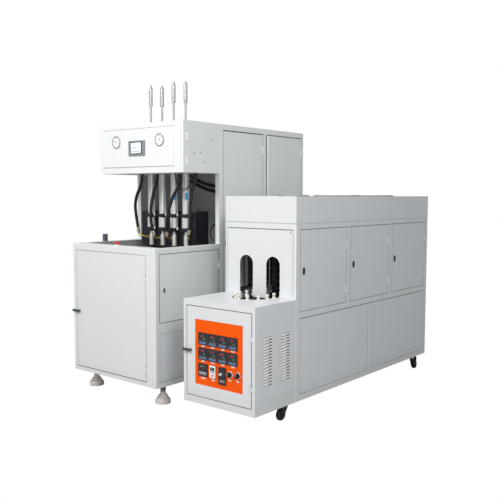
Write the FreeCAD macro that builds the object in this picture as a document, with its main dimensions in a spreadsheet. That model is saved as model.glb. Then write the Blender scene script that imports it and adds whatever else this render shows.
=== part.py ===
"""A semi-automatic blow moulding machine: the blowing unit and its preform heater, side by side.

Lengths are millimetres, +Z is up, -Y is the operator's side and the origin is on the floor in the
middle of the pair. The blowing unit stands on the left (-X) and the heater on the right (+X).
"""
import FreeCAD, Part
import math
import operator
import os
import Sketcher

V = FreeCAD.Vector

# --------------------------------------------------------------------------- driving dimensions
SIZES = {
    # blowing unit, cabinets
    "blower_width": 940, "blower_depth": 1780, "unit_gap": 255, "front_line": 1200,
    "base_clearance": 145, "table_height": 1147, "underside_height": 1691, "blower_height": 2069,
    "head_setback": 280, "rear_cabinet_setback": 670, "skin": 3, "partition_setback": 1230,
    # doors, hinges and seams
    "door_depth": 18, "door_sheet": 2, "door_gap": 2, "jamb_reach": 14, "jamb_sheet": 3,
    "hinge_radius": 6, "hinge_pin_radius": 3, "hinge_play": 0.05, "hinge_height": 60,
    "hinge_leaf": 16, "leaf_thickness": 1.6, "panel_gap": 1.5, "latch_stem_radius": 5,
    "stop_stem_radius": 11, "base_latch_height": 618, "control_latch_height": 476,
    "lock_width": 22, "lock_height": 46, "lock_proud": 3,
    # table and well
    "rim_width": 45, "rim_depth": 90, "well_floor": 847, "well_sheet": 3, "well_back": 1045,
    # doors of the blowing unit, measured from its left side, its front and the floor
    "base_door_left": 40, "base_door_right": 830, "base_door_bottom": 180, "base_door_top": 1095,
    "side_door_near": 36, "side_door_far": 655, "side_door_bottom": 615, "side_door_top": 1105,
    "side_panel_near": 36, "side_panel_far": 640, "side_panel_bottom": 185, "side_panel_top": 535,
    "rear_door_near": 717, "rear_door_width": 483, "rear_door_pitch": 543,
    "rear_door_bottom": 200, "rear_door_top": 2020, "head_door_depth": 33,
    # head front
    "groove_side": 43, "groove_low": 39, "groove_high": 27, "groove_width": 3, "groove_depth": 1,
    "gauge_radius": 47, "gauge_height": 1937, "gauge_left": 202, "gauge_right": 694,
    "screen_left": 348, "screen_width": 184, "screen_bottom": 1825, "screen_height": 115,
    # blowing stations
    "station_count": 4, "station_pitch": 132, "station_setback": 580, "cap_width": 68,
    "cap_height": 28, "cap_rise": 90, "barrel_radius": 28, "barrel_wall": 3, "barrel_length": 585,
    "seal_barrel_radius": 32.5, "seal_barrel_length": 82, "neck_radius": 11, "neck_length": 31,
    "blow_head_radius": 18, "blow_head_height": 46, "nozzle_length": 40, "nozzle_play": 0.3,
    "spigot_radius": 13, "spigot_length": 25, "spigot_room": 5, "rod_radius": 8,
    "running_play": 0.06, "rod_tip_inset": 10, "piston_height": 30, "piston_gap": 15,
    "rod_stop_radius": 15, "rod_stop_length": 168, "stop_rise_1": 175, "stop_rise_2": 160,
    "stop_rise_3": 181, "stop_rise_4": 170, "head_hole_play": 3,
    "support_left": 345, "support_right": 270, "support_depth": 145, "support_rise": 48,
    "support_sheet": 12,
    # hoses and tubes
    "hose_radius": 11, "hose_hole_play": 3.5, "tube_radius": 3, "thick_hose_radius": 14,
    "cable_radius": 5, "elbow_radius": 7.5, "ferrule_radius": 14, "ferrule_length": 42,
    "hose_entry": 12, "port_drop": 28,
    # clamp
    "platen_top": 1105, "platen_thickness": 40, "platen_half_width": 335, "half_mould": 120,
    "clamp_stroke": 150, "guide_height": 30, "guide_width": 60, "tie_radius": 20,
    "tie_spread": 290, "tie_low": 915, "tie_high": 1060, "tie_end": 14, "clamp_barrel_radius": 62,
    "clamp_barrel_length": 230, "clamp_rod_radius": 20, "crosshead_thickness": 40,
    "mould_bolt_radius": 5.1, "mould_bolt_depth": 25, "mould_bolt_span": 440,
    "mould_bolt_rise": 160, "stand_leg": 60,
    # feet of the blowing unit
    "foot_inset_x": 85, "foot_inset_y": 144, "foot_pad_radius": 48, "foot_stud_radius": 10,
    # heater, cabinet
    "heater_width": 630, "heater_setback": 20, "heater_length": 2425, "tunnel_setback": 435,
    "heater_clearance": 115, "heater_table": 822, "tunnel_top": 1520, "roof_line": 1336,
    "tunnel_panel_drop": 40, "tunnel_panel_left": 30,
    "tunnel_panel_right": 37,
    # heater front: control door, plate and arches, measured from the heater's left side
    "control_door_left": 30, "control_door_right": 598, "control_door_bottom": 166,
    "control_door_top": 780, "plate_left": 106, "plate_width": 426, "plate_bottom": 247,
    "plate_height": 449, "plate_sheet": 2.5,
    "arch_half": 60, "arch_rise": 282, "chain_radius": 119, "slot_radius": 145,
    "chain_setback": 365, "holder_pitch": 76.2, "holder_height": 32, "holder_radius": 13,
    "holder_top_radius": 9, "chain_drop": 22, "chain_rear_margin": 175,
    # heater right side: doors and fixed panels, in from the tunnel's front and rear ends
    "heat_door_near_margin": 51, "heat_door_far_margin": 60, "heat_door_gap": 65,
    "heat_door_bottom": 735, "heat_door_drop": 43,
    "low_panel_near_margin": 53, "low_panel_far_margin": 68, "low_panel_gap": 80,
    "low_panel_length": 912, "low_panel_bottom": 160, "low_panel_top": 686,
    "louvre_near_margin": 66, "louvre_far_margin": 49, "louvre_bottom": 290, "louvre_top": 630,
    "louvre_count": 16, "louvre_length": 98, "louvre_rise": 12, "louvre_reach": 5,
    # roof
    "fan_radius": 180, "small_fan_radius": 105, "fan_ring_width": 10, "fan_ring_height": 9,
    # chain, lamps and reflectors
    "chain_thickness": 14, "chain_width": 20, "rail_height": 30, "rail_width": 36,
    "upright_height": 30, "cross_bar_height": 24, "cross_bar_width": 40,
    "lamp_count": 8, "lamp_radius": 5, "lamp_rise": 134, "lamp_pitch": 50, "lamp_margin": 30,
    "reflector_near_margin": 150, "reflector_far_margin": 350, "reflector_depth": 46,
    "reflector_sheet": 4,
    # casters
    "caster_inset": 60, "caster_near_margin": 40, "caster_far_margin": 127, "wheel_radius": 42,
    "wheel_width": 30, "caster_trail": 40, "axle_radius": 5, "fork_sheet": 4,
    "caster_plate": 6, "caster_plate_width": 84, "king_pin_radius": 8,
}


class Size:
    """A length that knows its number and how the cells of the sheet give it."""

    def __init__(self, number, formula):
        self.number = number
        self.formula = formula

    def __add__(self, other):
        return worked_out(self, "+", other)

    def __radd__(self, other):
        return worked_out(other, "+", self)

    def __sub__(self, other):
        return worked_out(self, "-", other)

    def __rsub__(self, other):
        return worked_out(other, "-", self)

    def __mul__(self, other):
        return worked_out(self, "*", other)

    def __rmul__(self, other):
        return worked_out(other, "*", self)

    def __truediv__(self, other):
        return worked_out(self, "/", other)

    def __neg__(self):
        return worked_out(-1, "*", self)

    def __float__(self):
        return float(self.number)


SIGNS = {"+": operator.add, "-": operator.sub, "*": operator.mul, "/": operator.truediv}


def as_size(length):
    if isinstance(length, Size):
        return length
    return Size(float(length), f"({float(length)})")


def worked_out(left, sign, right):
    left, right = as_size(left), as_size(right)
    number = SIGNS[sign](left.number, right.number)
    return Size(number, f"({left.formula} {sign} {right.formula})")


class Sheet:
    """The spreadsheet of driving dimensions; sheet.skin is the cell with that alias."""

    def __init__(self, document, sizes):
        self.cells = document.addObject("Spreadsheet::Sheet", "Sizes")
        for line, (alias, number) in enumerate(sizes.items(), start=1):
            self.cells.set(f"A{line}", alias)
            self.cells.set(f"B{line}", str(number))
            self.cells.setAlias(f"B{line}", alias)
        document.recompute()

    def __getattr__(self, alias):
        return Size(float(self.cells.get(alias)), f"Sizes.{alias}")


doc = FreeCAD.newDocument("BlowMouldingMachine")
s = Sheet(doc, SIZES)
nodes = []

# --------------------------------------------------------------------------- places worked out
LEFT = -(s.blower_width + s.unit_gap + s.heater_width) / 2
RIGHT = LEFT + s.blower_width
MIDDLE = LEFT + s.blower_width / 2
FRONT = -s.front_line
HEAD_FRONT = FRONT + s.head_setback
REAR_CABINET = FRONT + s.rear_cabinet_setback
REAR = FRONT + s.blower_depth
STATIONS = FRONT + s.station_setback
LOWER_CAP = s.table_height + s.cap_rise
UPPER_CAP = LOWER_CAP + s.cap_height + s.seal_barrel_length
BARREL_BOTTOM = UPPER_CAP + s.cap_height
BARREL_TOP = BARREL_BOTTOM + s.barrel_length
BLOW_HEAD_TOP = LOWER_CAP - s.neck_length
BLOW_HEAD_BOTTOM = BLOW_HEAD_TOP - s.blow_head_height
NOZZLE_BOTTOM = BLOW_HEAD_BOTTOM - s.nozzle_length
HEATER_LEFT = RIGHT + s.unit_gap
HEATER_RIGHT = HEATER_LEFT + s.heater_width
HEATER_MIDDLE = HEATER_LEFT + s.heater_width / 2
HEATER_FRONT = FRONT + s.heater_setback
TUNNEL_FRONT = HEATER_FRONT + s.tunnel_setback
HEATER_REAR = HEATER_FRONT + s.heater_length
CHAIN_FRONT = HEATER_FRONT + s.chain_setback
CHAIN_REAR = HEATER_REAR - s.chain_rear_margin
CHAIN_TOP = s.heater_table - s.chain_drop
RAIL_BOTTOM = CHAIN_TOP - s.chain_thickness - s.rail_height
CROSS_BAR_TOP = RAIL_BOTTOM - s.upright_height
CROSS_BAR_BOTTOM = CROSS_BAR_TOP - s.cross_bar_height
LAMP_FIRST = CROSS_BAR_TOP + s.lamp_rise
TUNNEL_PANEL_TOP = s.roof_line - s.tunnel_panel_drop
HEAT_DOOR_WIDTH = (s.heater_length - s.tunnel_setback - s.heat_door_near_margin
                   - s.heat_door_far_margin - 2 * s.heat_door_gap) / 3
LOW_PANEL_NEAR = s.tunnel_setback + s.low_panel_near_margin
LOW_PANEL_FAR = s.heater_length - s.low_panel_far_margin
LOUVRE_FAR = s.tunnel_setback - s.louvre_far_margin


# --------------------------------------------------------------------------- building blocks
def bind(thing, **sizes):
    """Tie properties to the cells: Length=..., or a place with x=, y= and z=."""
    for name, size in sizes.items():
        path = f"Placement.Base.{name}" if name in "xyz" else name
        thing.setExpression(path, as_size(size).formula)
    return thing


def box(name, x, y, z, length, width, height):
    block = doc.addObject("Part::Box", name)
    return bind(block, x=x, y=y, z=z, Length=length, Width=width, Height=height)


TURNS = {
    "x": FreeCAD.Rotation(V(0, 1, 0), 90),
    "y": FreeCAD.Rotation(V(1, 0, 0), -90),
    "z": FreeCAD.Rotation(),
}


def rod(name, x, y, z, radius, length, axis="z"):
    """A round bar that starts at the place given and runs along +axis."""
    bar = doc.addObject("Part::Cylinder", name)
    bar.Placement = FreeCAD.Placement(V(), TURNS[axis])
    return bind(bar, x=x, y=y, z=z, Radius=radius, Height=length)


def cone(name, x, y, z, low_radius, high_radius, length, axis="z"):
    taper = doc.addObject("Part::Cone", name)
    taper.Placement = FreeCAD.Placement(V(), TURNS[axis])
    return bind(taper, x=x, y=y, z=z, Radius1=low_radius, Radius2=high_radius, Height=length)


def fuse(name, parts):
    joined = doc.addObject("Part::MultiFuse", name)
    joined.Shapes = parts
    return joined


def cut(name, base, tools):
    removed = doc.addObject("Part::Cut", name)
    removed.Base = base
    removed.Tool = tools[0] if len(tools) == 1 else fuse(f"{name}_tools", tools)
    return removed


def group(name, parts):
    bundle = doc.addObject("Part::Compound", name)
    bundle.Links = parts
    return bundle


def feature(name, shape):
    solid = doc.addObject("Part::Feature", name)
    solid.Shape = shape
    return solid


def node(label, thing):
    """Name a finished piece; the label is the name of its file."""
    thing.Label = label
    nodes.append(thing)
    return thing


def new_body(name):
    return doc.addObject("PartDesign::Body", name)


def new_sketch(body, name, role):
    """A sketch on one of the body's own planes: XY_Plane, XZ_Plane or YZ_Plane."""
    plane = [part for part in body.Origin.OriginFeatures if part.Role == role][0]
    sketch = body.newObject("Sketcher::SketchObject", name)
    sketch.AttachmentSupport = [(plane, "")]
    sketch.MapMode = "FlatFace"
    return sketch


def outline(sketch, points):
    """Close straight lines through the points; each corner is fixed by two bound distances."""
    ends = [V(float(x), float(y), 0) for x, y in points]
    count = len(ends)
    for index in range(count):
        sketch.addGeometry(Part.LineSegment(ends[index], ends[(index + 1) % count]), False)
    for index in range(count):
        sketch.addConstraint(Sketcher.Constraint("Coincident", index, 2, (index + 1) % count, 1))
    for index, (x, y) in enumerate(points):
        for kind, size in (("DistanceX", x), ("DistanceY", y)):
            size = as_size(size)
            number = sketch.addConstraint(
                Sketcher.Constraint(kind, -1, 1, index, 1, size.number))
            sketch.setExpression(f"Constraints[{number}]", size.formula)


def revolved(name, profile):
    """A body turned about its own upright axis from (radius, height) corners."""
    body = new_body(name)
    sketch = new_sketch(body, f"{name}_profile", "XZ_Plane")
    outline(sketch, profile)
    turn = body.newObject("PartDesign::Revolution", f"{name}_turn")
    turn.Profile = sketch
    turn.ReferenceAxis = (sketch, ["V_Axis"])
    turn.Angle = 360
    body.Tip = turn
    return body


class Side:
    """A cabinet's face: u runs along it, d goes into it (minus is proud) and v is the height."""

    def __init__(self, looks, x, y):
        self.looks, self.x, self.y = looks, x, y

    def box(self, name, u, d, v, along, deep, high):
        if self.looks == "front":
            return box(name, self.x + u, self.y + d, v, along, deep, high)
        return box(name, self.x - d - deep, self.y + u, v, deep, along, high)

    def post(self, name, u, d, v, radius, high):
        if self.looks == "front":
            return rod(name, self.x + u, self.y + d, v, radius, high)
        return rod(name, self.x - d, self.y + u, v, radius, high)

    def stud(self, name, u, d, v, radius, deep):
        if self.looks == "front":
            return rod(name, self.x + u, self.y + d, v, radius, deep, "y")
        return rod(name, self.x - d - deep, self.y + u, v, radius, deep, "x")


BASE_FRONT = Side("front", LEFT, FRONT)
BASE_SIDE = Side("right", RIGHT, FRONT)
HEATER_FACE = Side("front", HEATER_LEFT, HEATER_FRONT)
HEATER_SIDE = Side("right", HEATER_RIGHT, HEATER_FRONT)
TUNNEL_FACE = Side("front", HEATER_LEFT, TUNNEL_FRONT)


# --------------------------------------------------------------------------- doors and hinges
hinge_halves = []


class Opening:
    """A rectangular doorway in a face, with the door that fills it."""

    def __init__(self, name, side, left, right, bottom, top, hinge="right", hinge_heights=()):
        self.name, self.side = name, side
        self.left, self.right, self.bottom, self.top = left, right, bottom, top
        self.hinge, self.hinge_heights = hinge, hinge_heights

    def hinge_line(self):
        if self.hinge == "right":
            return self.right + s.door_gap / 2
        return self.left - s.door_gap / 2

    def jamb(self):
        """The folded frame behind the doorway, before it is cut through."""
        reach = s.door_gap + s.jamb_sheet
        return self.side.box(
            f"{self.name}_jamb", self.left - reach, s.skin, self.bottom - reach,
            self.right - self.left + 2 * reach, s.door_depth + s.door_gap,
            self.top - self.bottom + 2 * reach)

    def cutters(self):
        """What is taken out: the door's own space, and a smaller way through behind it."""
        gap, stop = s.door_gap, s.jamb_reach
        space = self.side.box(
            f"{self.name}_space", self.left - gap, -1, self.bottom - gap,
            self.right - self.left + 2 * gap, s.door_depth + 1.5,
            self.top - self.bottom + 2 * gap)
        way = self.side.box(
            f"{self.name}_way", self.left + stop, 1, self.bottom + stop,
            self.right - self.left - 2 * stop, s.door_depth + 60,
            self.top - self.bottom - 2 * stop)
        return [space, way]

    def door(self, holes=(), extras=()):
        """The folded sheet door with the moving halves of its hinges welded on."""
        fold = s.door_sheet
        blank = self.side.box(
            f"{self.name}_blank", self.left, 0, self.bottom,
            self.right - self.left, s.door_depth, self.top - self.bottom)
        hollow = self.side.box(
            f"{self.name}_hollow", self.left + fold, fold, self.bottom + fold,
            self.right - self.left - 2 * fold, s.door_depth, self.top - self.bottom - 2 * fold)
        pan = cut(f"{self.name}_pan", blank, [hollow, *holes])
        halves, bores = self.moving_halves()
        return cut(f"{self.name}_door", fuse(f"{self.name}_welded", [pan, *halves, *extras]), bores)

    def moving_halves(self):
        halves, bores = [], []
        inward = -1 if self.hinge == "right" else 1
        for index, height in enumerate(self.hinge_heights, start=1):
            name = f"{self.name}_hinge_{index}"
            middle = height + s.hinge_height / 2
            line = self.hinge_line()
            halves.append(self.side.post(
                f"{name}_knuckle", line, -s.hinge_radius, middle + 0.5,
                s.hinge_radius, s.hinge_height / 2 - 0.5))
            leaf_from = line - s.hinge_leaf if inward < 0 else line
            halves.append(self.side.box(
                f"{name}_leaf", leaf_from, -s.leaf_thickness, middle + 0.5,
                s.hinge_leaf, s.leaf_thickness, s.hinge_height / 2 - 0.5))
            bores.append(self.side.post(
                f"{name}_bore", line, -s.hinge_radius, middle,
                s.hinge_pin_radius + s.hinge_play, s.hinge_height / 2 - 3))
            self.fixed_half(name, line, height, inward)
        return halves, bores

    def fixed_half(self, name, line, height, inward):
        knuckle = self.side.post(
            f"{name}_seat", line, -s.hinge_radius, height, s.hinge_radius, s.hinge_height / 2)
        pin = self.side.post(
            f"{name}_pin", line, -s.hinge_radius, height, s.hinge_pin_radius, s.hinge_height - 4)
        leaf_from = line if inward < 0 else line - s.hinge_leaf
        leaf = self.side.box(
            f"{name}_plate", leaf_from, -s.leaf_thickness, height,
            s.hinge_leaf, s.leaf_thickness, s.hinge_height / 2)
        hinge_halves.append(fuse(f"{name}_fixed", [knuckle, pin, leaf]))


base_door = Opening(
    "base_front", BASE_FRONT, s.base_door_left, s.base_door_right, s.base_door_bottom,
    s.base_door_top, "right", [s.base_door_bottom + 70, s.base_door_top - 185])
side_door = Opening(
    "base_side", BASE_SIDE, s.side_door_near, s.side_door_far, s.side_door_bottom,
    s.side_door_top, "right", [s.side_door_bottom + 80, s.side_door_top - 145])
rear_doors = [
    Opening(f"rear_{number}", BASE_SIDE,
            s.rear_door_near + (number - 1) * s.rear_door_pitch,
            s.rear_door_near + (number - 1) * s.rear_door_pitch + s.rear_door_width,
            s.rear_door_bottom, s.rear_door_top, "right",
            [s.rear_door_bottom + 100, s.rear_door_top - 158])
    for number in (1, 2)]
control_door = Opening(
    "control", HEATER_FACE, s.control_door_left, s.control_door_right, s.control_door_bottom,
    s.control_door_top, "right", [s.control_door_bottom + 110, s.control_door_top - 180])
HEAT_DOOR_TOP = s.roof_line - s.heat_door_drop
heater_doors = []
for number in (1, 2, 3):
    near = (s.tunnel_setback + s.heat_door_near_margin
            + (number - 1) * (HEAT_DOOR_WIDTH + s.heat_door_gap))
    heater_doors.append(Opening(
        f"heater_{number}", HEATER_SIDE, near, near + HEAT_DOOR_WIDTH, s.heat_door_bottom,
        HEAT_DOOR_TOP, "right", [s.heat_door_bottom + 70, HEAT_DOOR_TOP - 165]))


def panel_way(name, side, left, right, bottom, top):
    """The hole in the skin behind which a fixed panel lies."""
    return side.box(name, left, -1, bottom, right - left, s.skin + 2, top - bottom)


def fixed_panel(name, side, left, right, bottom, top, holes=()):
    """A plate flush in the skin, on a wider backing that lies on the inside of the skin."""
    gap, lap = s.panel_gap, s.jamb_reach
    face = side.box(f"{name}_face", left + gap, 0, bottom + gap,
                    right - left - 2 * gap, s.skin, top - bottom - 2 * gap)
    back = side.box(f"{name}_back", left - lap, s.skin, bottom - lap,
                    right - left + 2 * lap, s.door_sheet, top - bottom + 2 * lap)
    plate = fuse(f"{name}_plate", [face, back])
    return cut(f"{name}_cut", plate, list(holes)) if holes else plate


# --------------------------------------------------------------------------- blowing unit
def hollow_box(name, x, y, z, length, width, height):
    """Walls of one skin all round: the outer block and the block to take out of it."""
    outer = box(f"{name}_outer", x, y, z, length, width, height)
    inner = box(f"{name}_inner", x + s.skin, y + s.skin, z + s.skin,
                length - 2 * s.skin, width - 2 * s.skin, height - 2 * s.skin)
    return outer, inner


def stand_leg(name, x, y):
    """A leg of the stand under the well, from the cabinet's floor to the well's."""
    return box(name, x - s.stand_leg / 2, y, s.base_clearance,
               s.stand_leg, s.stand_leg, s.well_floor - s.base_clearance)


def build_base_cabinet():
    height = s.table_height - s.base_clearance
    depth = s.rear_cabinet_setback
    outer, inner = hollow_box(
        "base", LEFT, FRONT, s.base_clearance, s.blower_width, depth, height)
    shell = cut("base_shell", outer, [inner])
    legs = [stand_leg(f"base_leg_{side}_{row}", MIDDLE + sign * s.tie_spread, FRONT + setback)
            for side, sign in (("left", -1), ("right", 1))
            for row, setback in (("near", s.rim_depth + 60), ("far", s.station_setback))]
    collar = rod("stop_collar", MIDDLE, FRONT + s.rim_depth / 2, s.table_height,
                 s.stop_stem_radius + 6, 7)
    well = box("base_well", LEFT + s.rim_width, FRONT + s.rim_depth, s.well_floor,
               s.blower_width - 2 * s.rim_width, depth, height)
    framed = fuse("base_framed", [shell, base_door.jamb(), side_door.jamb(), *legs, collar])
    back_way = box("base_back_way", LEFT + s.rim_width - s.well_sheet,
                   REAR_CABINET - s.skin - 1, s.well_floor,
                   s.blower_width - 2 * (s.rim_width - s.well_sheet), s.skin + 2,
                   s.table_height - s.skin - s.well_floor)
    stop_hole = rod("base_stop_hole", MIDDLE, FRONT + s.rim_depth / 2, s.table_height - 20,
                    s.stop_stem_radius + s.running_play, 40)
    low_panel = panel_way("base_panel_way", BASE_SIDE, s.side_panel_near, s.side_panel_far,
                          s.side_panel_bottom, s.side_panel_top)
    tools = [*base_door.cutters(), *side_door.cutters(), well, back_way, stop_hole, low_panel]
    node("blower_base_cabinet", cut("base_cabinet", framed, tools))


def build_rear_cabinet():
    height = s.blower_height - s.base_clearance
    depth = s.blower_depth - s.rear_cabinet_setback
    outer, inner = hollow_box(
        "rear", LEFT, REAR_CABINET, s.base_clearance, s.blower_width, depth, height)
    shell = cut("rear_shell", outer, [inner])
    partition = box("rear_partition", LEFT, FRONT + s.partition_setback, s.base_clearance,
                    s.blower_width, s.skin, height)
    legs = [stand_leg(f"rear_leg_{side}", MIDDLE + sign * s.tie_spread,
                      FRONT + s.well_back - s.stand_leg)
            for side, sign in (("left", -1), ("right", 1))]
    jambs = [door.jamb() for door in rear_doors]
    framed = fuse("rear_framed", [shell, partition, *legs, *jambs])
    window = box("rear_window", LEFT + s.rim_width - s.well_sheet, REAR_CABINET - 10,
                 s.well_floor, s.blower_width - 2 * (s.rim_width - s.well_sheet), 20,
                 s.underside_height - s.well_floor)
    tools = [window]
    for door in rear_doors:
        tools.extend(door.cutters())
    node("blower_rear_cabinet", cut("rear_cabinet", framed, tools))


def build_head_box():
    start = HEAD_FRONT + s.head_door_depth
    height = s.blower_height - s.underside_height
    depth = REAR_CABINET - start
    outer = box("head_outer", LEFT, start, s.underside_height, s.blower_width, depth, height)
    inner = box("head_inner", LEFT + s.skin, start - 10, s.underside_height + s.skin,
                s.blower_width - 2 * s.skin, depth - s.skin + 10, height - 2 * s.skin)
    holes = []
    for number, x in stations():
        holes.append(rod(f"head_tube_hole_{number}", x, STATIONS, s.underside_height - 5,
                         s.barrel_radius + s.head_hole_play, s.skin + 10))
        holes.append(rod(f"head_rod_hole_{number}", x, STATIONS, s.blower_height - s.skin - 5,
                         s.rod_radius + s.head_hole_play, s.skin + 10))
    for number, (x, y) in enumerate(hose_inlets(), start=1):
        holes.append(rod(f"head_hose_hole_{number}", x, y, s.underside_height - 5,
                         s.hose_radius + s.hose_hole_play, s.skin + 10))
    for number, (x, y) in enumerate(tube_inlets(), start=1):
        holes.append(rod(f"head_tube_way_{number}", x, y, s.underside_height - 5,
                         s.tube_radius + 2, s.skin + 10))
    node("blower_head_box", cut("head_box", outer, [inner, *holes]))


def stations():
    """Each blowing station's number and its place along X."""
    count = int(s.station_count.number)
    return [(number, MIDDLE + (number - (count + 1) / 2) * s.station_pitch)
            for number in range(1, count + 1)]


def hose_inlets():
    """Where the blowing hoses pass the head's underside."""
    return [(MIDDLE - 222, STATIONS - 80), (MIDDLE - 40, STATIONS - 80),
            (MIDDLE + 226, STATIONS - 80), (MIDDLE + 370, STATIONS - 66)]


def tube_inlets():
    """Where the thin tubes pass the head's underside: one by each cap, then the loop's two ends."""
    beside = [(x + s.cap_width / 2 + 8, STATIONS - 22) for number, x in stations()]
    return [*beside, (MIDDLE + 189, STATIONS - 108), (MIDDLE + 372, STATIONS - 108)]


def build_well_tray():
    """The grey sheet lining of the well, open at the back where the clamp runs into the cabinet."""
    left, wide = LEFT + s.rim_width, s.blower_width - 2 * s.rim_width
    start = FRONT + s.rim_depth
    depth = s.well_back - s.rim_depth
    sheet = s.well_sheet
    floor = box("tray_floor", left - sheet, start - sheet, s.well_floor,
                wide + 2 * sheet, depth + sheet, sheet)
    wall_top = s.table_height - s.skin - s.well_floor
    front = box("tray_front", left - sheet, start - sheet, s.well_floor,
                wide + 2 * sheet, sheet, wall_top)
    near = s.rear_cabinet_setback - s.rim_depth + sheet
    walls = [box(f"tray_wall_{side}", x, start - sheet, s.well_floor, sheet, near, wall_top)
             for side, x in (("left", left - sheet), ("right", left + wide))]
    node("well_tray", fuse("tray_sheets", [floor, front, *walls]))


def build_station_support():
    """The black bracket on the rear platen and the square end caps that it carries."""
    face = STATIONS + s.cap_width / 2
    left, right = MIDDLE - s.support_left, MIDDLE + s.support_right
    bottom = s.platen_top
    height = BARREL_BOTTOM + s.support_rise - s.cap_height - bottom
    sheet = s.support_sheet
    parts = [
        box("support_face", left, face, bottom, right - left, sheet, height),
        box("support_left_cheek", left, face, bottom, sheet, s.support_depth, height),
        box("support_right_cheek", right - sheet, face, bottom, sheet, s.support_depth, height)]
    bores = []
    for number, x in stations():
        for level, bottom_of_cap in (("upper", UPPER_CAP), ("lower", LOWER_CAP)):
            parts.append(box(f"{level}_cap_{number}", x - s.cap_width / 2, STATIONS - s.cap_width / 2,
                             bottom_of_cap, s.cap_width, s.cap_width, s.cap_height))
            bores.append(rod(f"{level}_cap_bore_{number}", x, STATIONS, bottom_of_cap - 5,
                             s.rod_radius + s.running_play, s.cap_height + 10))
    node("station_support", cut("support", fuse("support_parts", parts), bores))


def build_stretch_cylinders():
    """Four bare barrels between the upper caps and the gland nuts inside the head."""
    tubes = []
    for number, x in stations():
        barrel = rod(f"stretch_barrel_{number}", x, STATIONS, BARREL_BOTTOM, s.barrel_radius,
                     s.barrel_length)
        cap = box(f"stretch_cap_{number}", x - s.cap_width / 2, STATIONS - s.cap_width / 2,
                  BARREL_TOP, s.cap_width, s.cap_width, s.cap_height)
        bore = rod(f"stretch_bore_{number}", x, STATIONS, BARREL_BOTTOM - 1,
                   s.barrel_radius - s.barrel_wall, s.barrel_length + 1)
        way = rod(f"stretch_way_{number}", x, STATIONS, BARREL_TOP - 1,
                  s.rod_radius + s.running_play, s.cap_height + 2)
        tubes.append(cut(f"stretch_cylinder_{number}",
                         fuse(f"stretch_parts_{number}", [barrel, cap]), [bore, way]))
    node("stretch_cylinders", group("stretch_cylinder_group", tubes))


def build_seal_cylinders():
    """Short barrels between the caps and, under the lower cap, each neck and blow head."""
    seals = []
    barrel_bottom = LOWER_CAP + s.cap_height
    play = s.running_play
    for number, x in stations():
        barrel = rod(f"seal_barrel_{number}", x, STATIONS, barrel_bottom, s.seal_barrel_radius,
                     s.seal_barrel_length)
        barrel_way = rod(f"seal_barrel_way_{number}", x, STATIONS, barrel_bottom - 1,
                         s.rod_radius + play, s.seal_barrel_length + 2)
        seals.append(cut(f"seal_cylinder_{number}", barrel, [barrel_way]))
        neck = rod(f"neck_{number}", x, STATIONS, BLOW_HEAD_TOP, s.neck_radius, s.neck_length)
        head = rod(f"blow_head_{number}", x, STATIONS, BLOW_HEAD_BOTTOM, s.blow_head_radius,
                   s.blow_head_height)
        rod_way = rod(f"neck_way_{number}", x, STATIONS, BLOW_HEAD_BOTTOM - 1,
                      s.rod_radius + play, s.blow_head_height + s.neck_length + 2)
        socket = rod(f"spigot_way_{number}", x, STATIONS, BLOW_HEAD_BOTTOM - 1,
                     s.spigot_radius + play, s.spigot_length + s.spigot_room + 1)
        seals.append(cut(f"blow_head_piece_{number}", fuse(f"neck_parts_{number}", [neck, head]),
                         [rod_way, socket]))
    node("seal_cylinders", group("seal_cylinder_group", seals))


def build_blow_nozzles():
    """The sealing sleeves that drop onto the preforms; a spigot guides each in its blow head."""
    sleeves = []
    for number, x in stations():
        sleeve = rod(f"nozzle_sleeve_{number}", x, STATIONS, NOZZLE_BOTTOM, s.blow_head_radius,
                     s.nozzle_length - s.nozzle_play)
        spigot = rod(f"nozzle_spigot_{number}", x, STATIONS, BLOW_HEAD_BOTTOM - 1,
                     s.spigot_radius, s.spigot_length + 1)
        bore = rod(f"nozzle_bore_{number}", x, STATIONS, NOZZLE_BOTTOM - 1,
                   s.rod_radius + s.running_play, s.nozzle_length + s.spigot_length + 10)
        sleeves.append(cut(f"nozzle_{number}", fuse(f"nozzle_parts_{number}", [sleeve, spigot]),
                           [bore]))
    node("blow_nozzles", group("nozzle_group", sleeves))


def stop_rises():
    """Each stop is clamped at its own height on its rod."""
    return [s.stop_rise_1, s.stop_rise_2, s.stop_rise_3, s.stop_rise_4]


def build_stretch_rods():
    """Each rod with its piston in the barrel and the bullet-nosed stop above the head."""
    tip = NOZZLE_BOTTOM + s.rod_tip_inset
    stop_straight = s.rod_stop_length - 2 * s.rod_stop_radius
    for (number, x), rise in zip(stations(), stop_rises()):
        stop_bottom = s.blower_height + rise
        bar = rod(f"rod_bar_{number}", x, STATIONS, tip, s.rod_radius, stop_bottom - tip + 10)
        piston = rod(f"rod_piston_{number}", x, STATIONS,
                     BARREL_TOP - s.piston_gap - s.piston_height,
                     s.barrel_radius - s.barrel_wall - s.running_play, s.piston_height)
        stop = rod(f"rod_stop_{number}", x, STATIONS, stop_bottom, s.rod_stop_radius,
                   stop_straight)
        nose = cone(f"rod_nose_{number}", x, STATIONS, stop_bottom + stop_straight,
                    s.rod_stop_radius, s.rod_stop_radius / 3, 2 * s.rod_stop_radius)
        node(f"stretch_rod_{number}", fuse(f"rod_{number}", [bar, piston, stop, nose]))


# --------------------------------------------------------------------------- hoses and tubes
RUN_SHARE = 0.45


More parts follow.
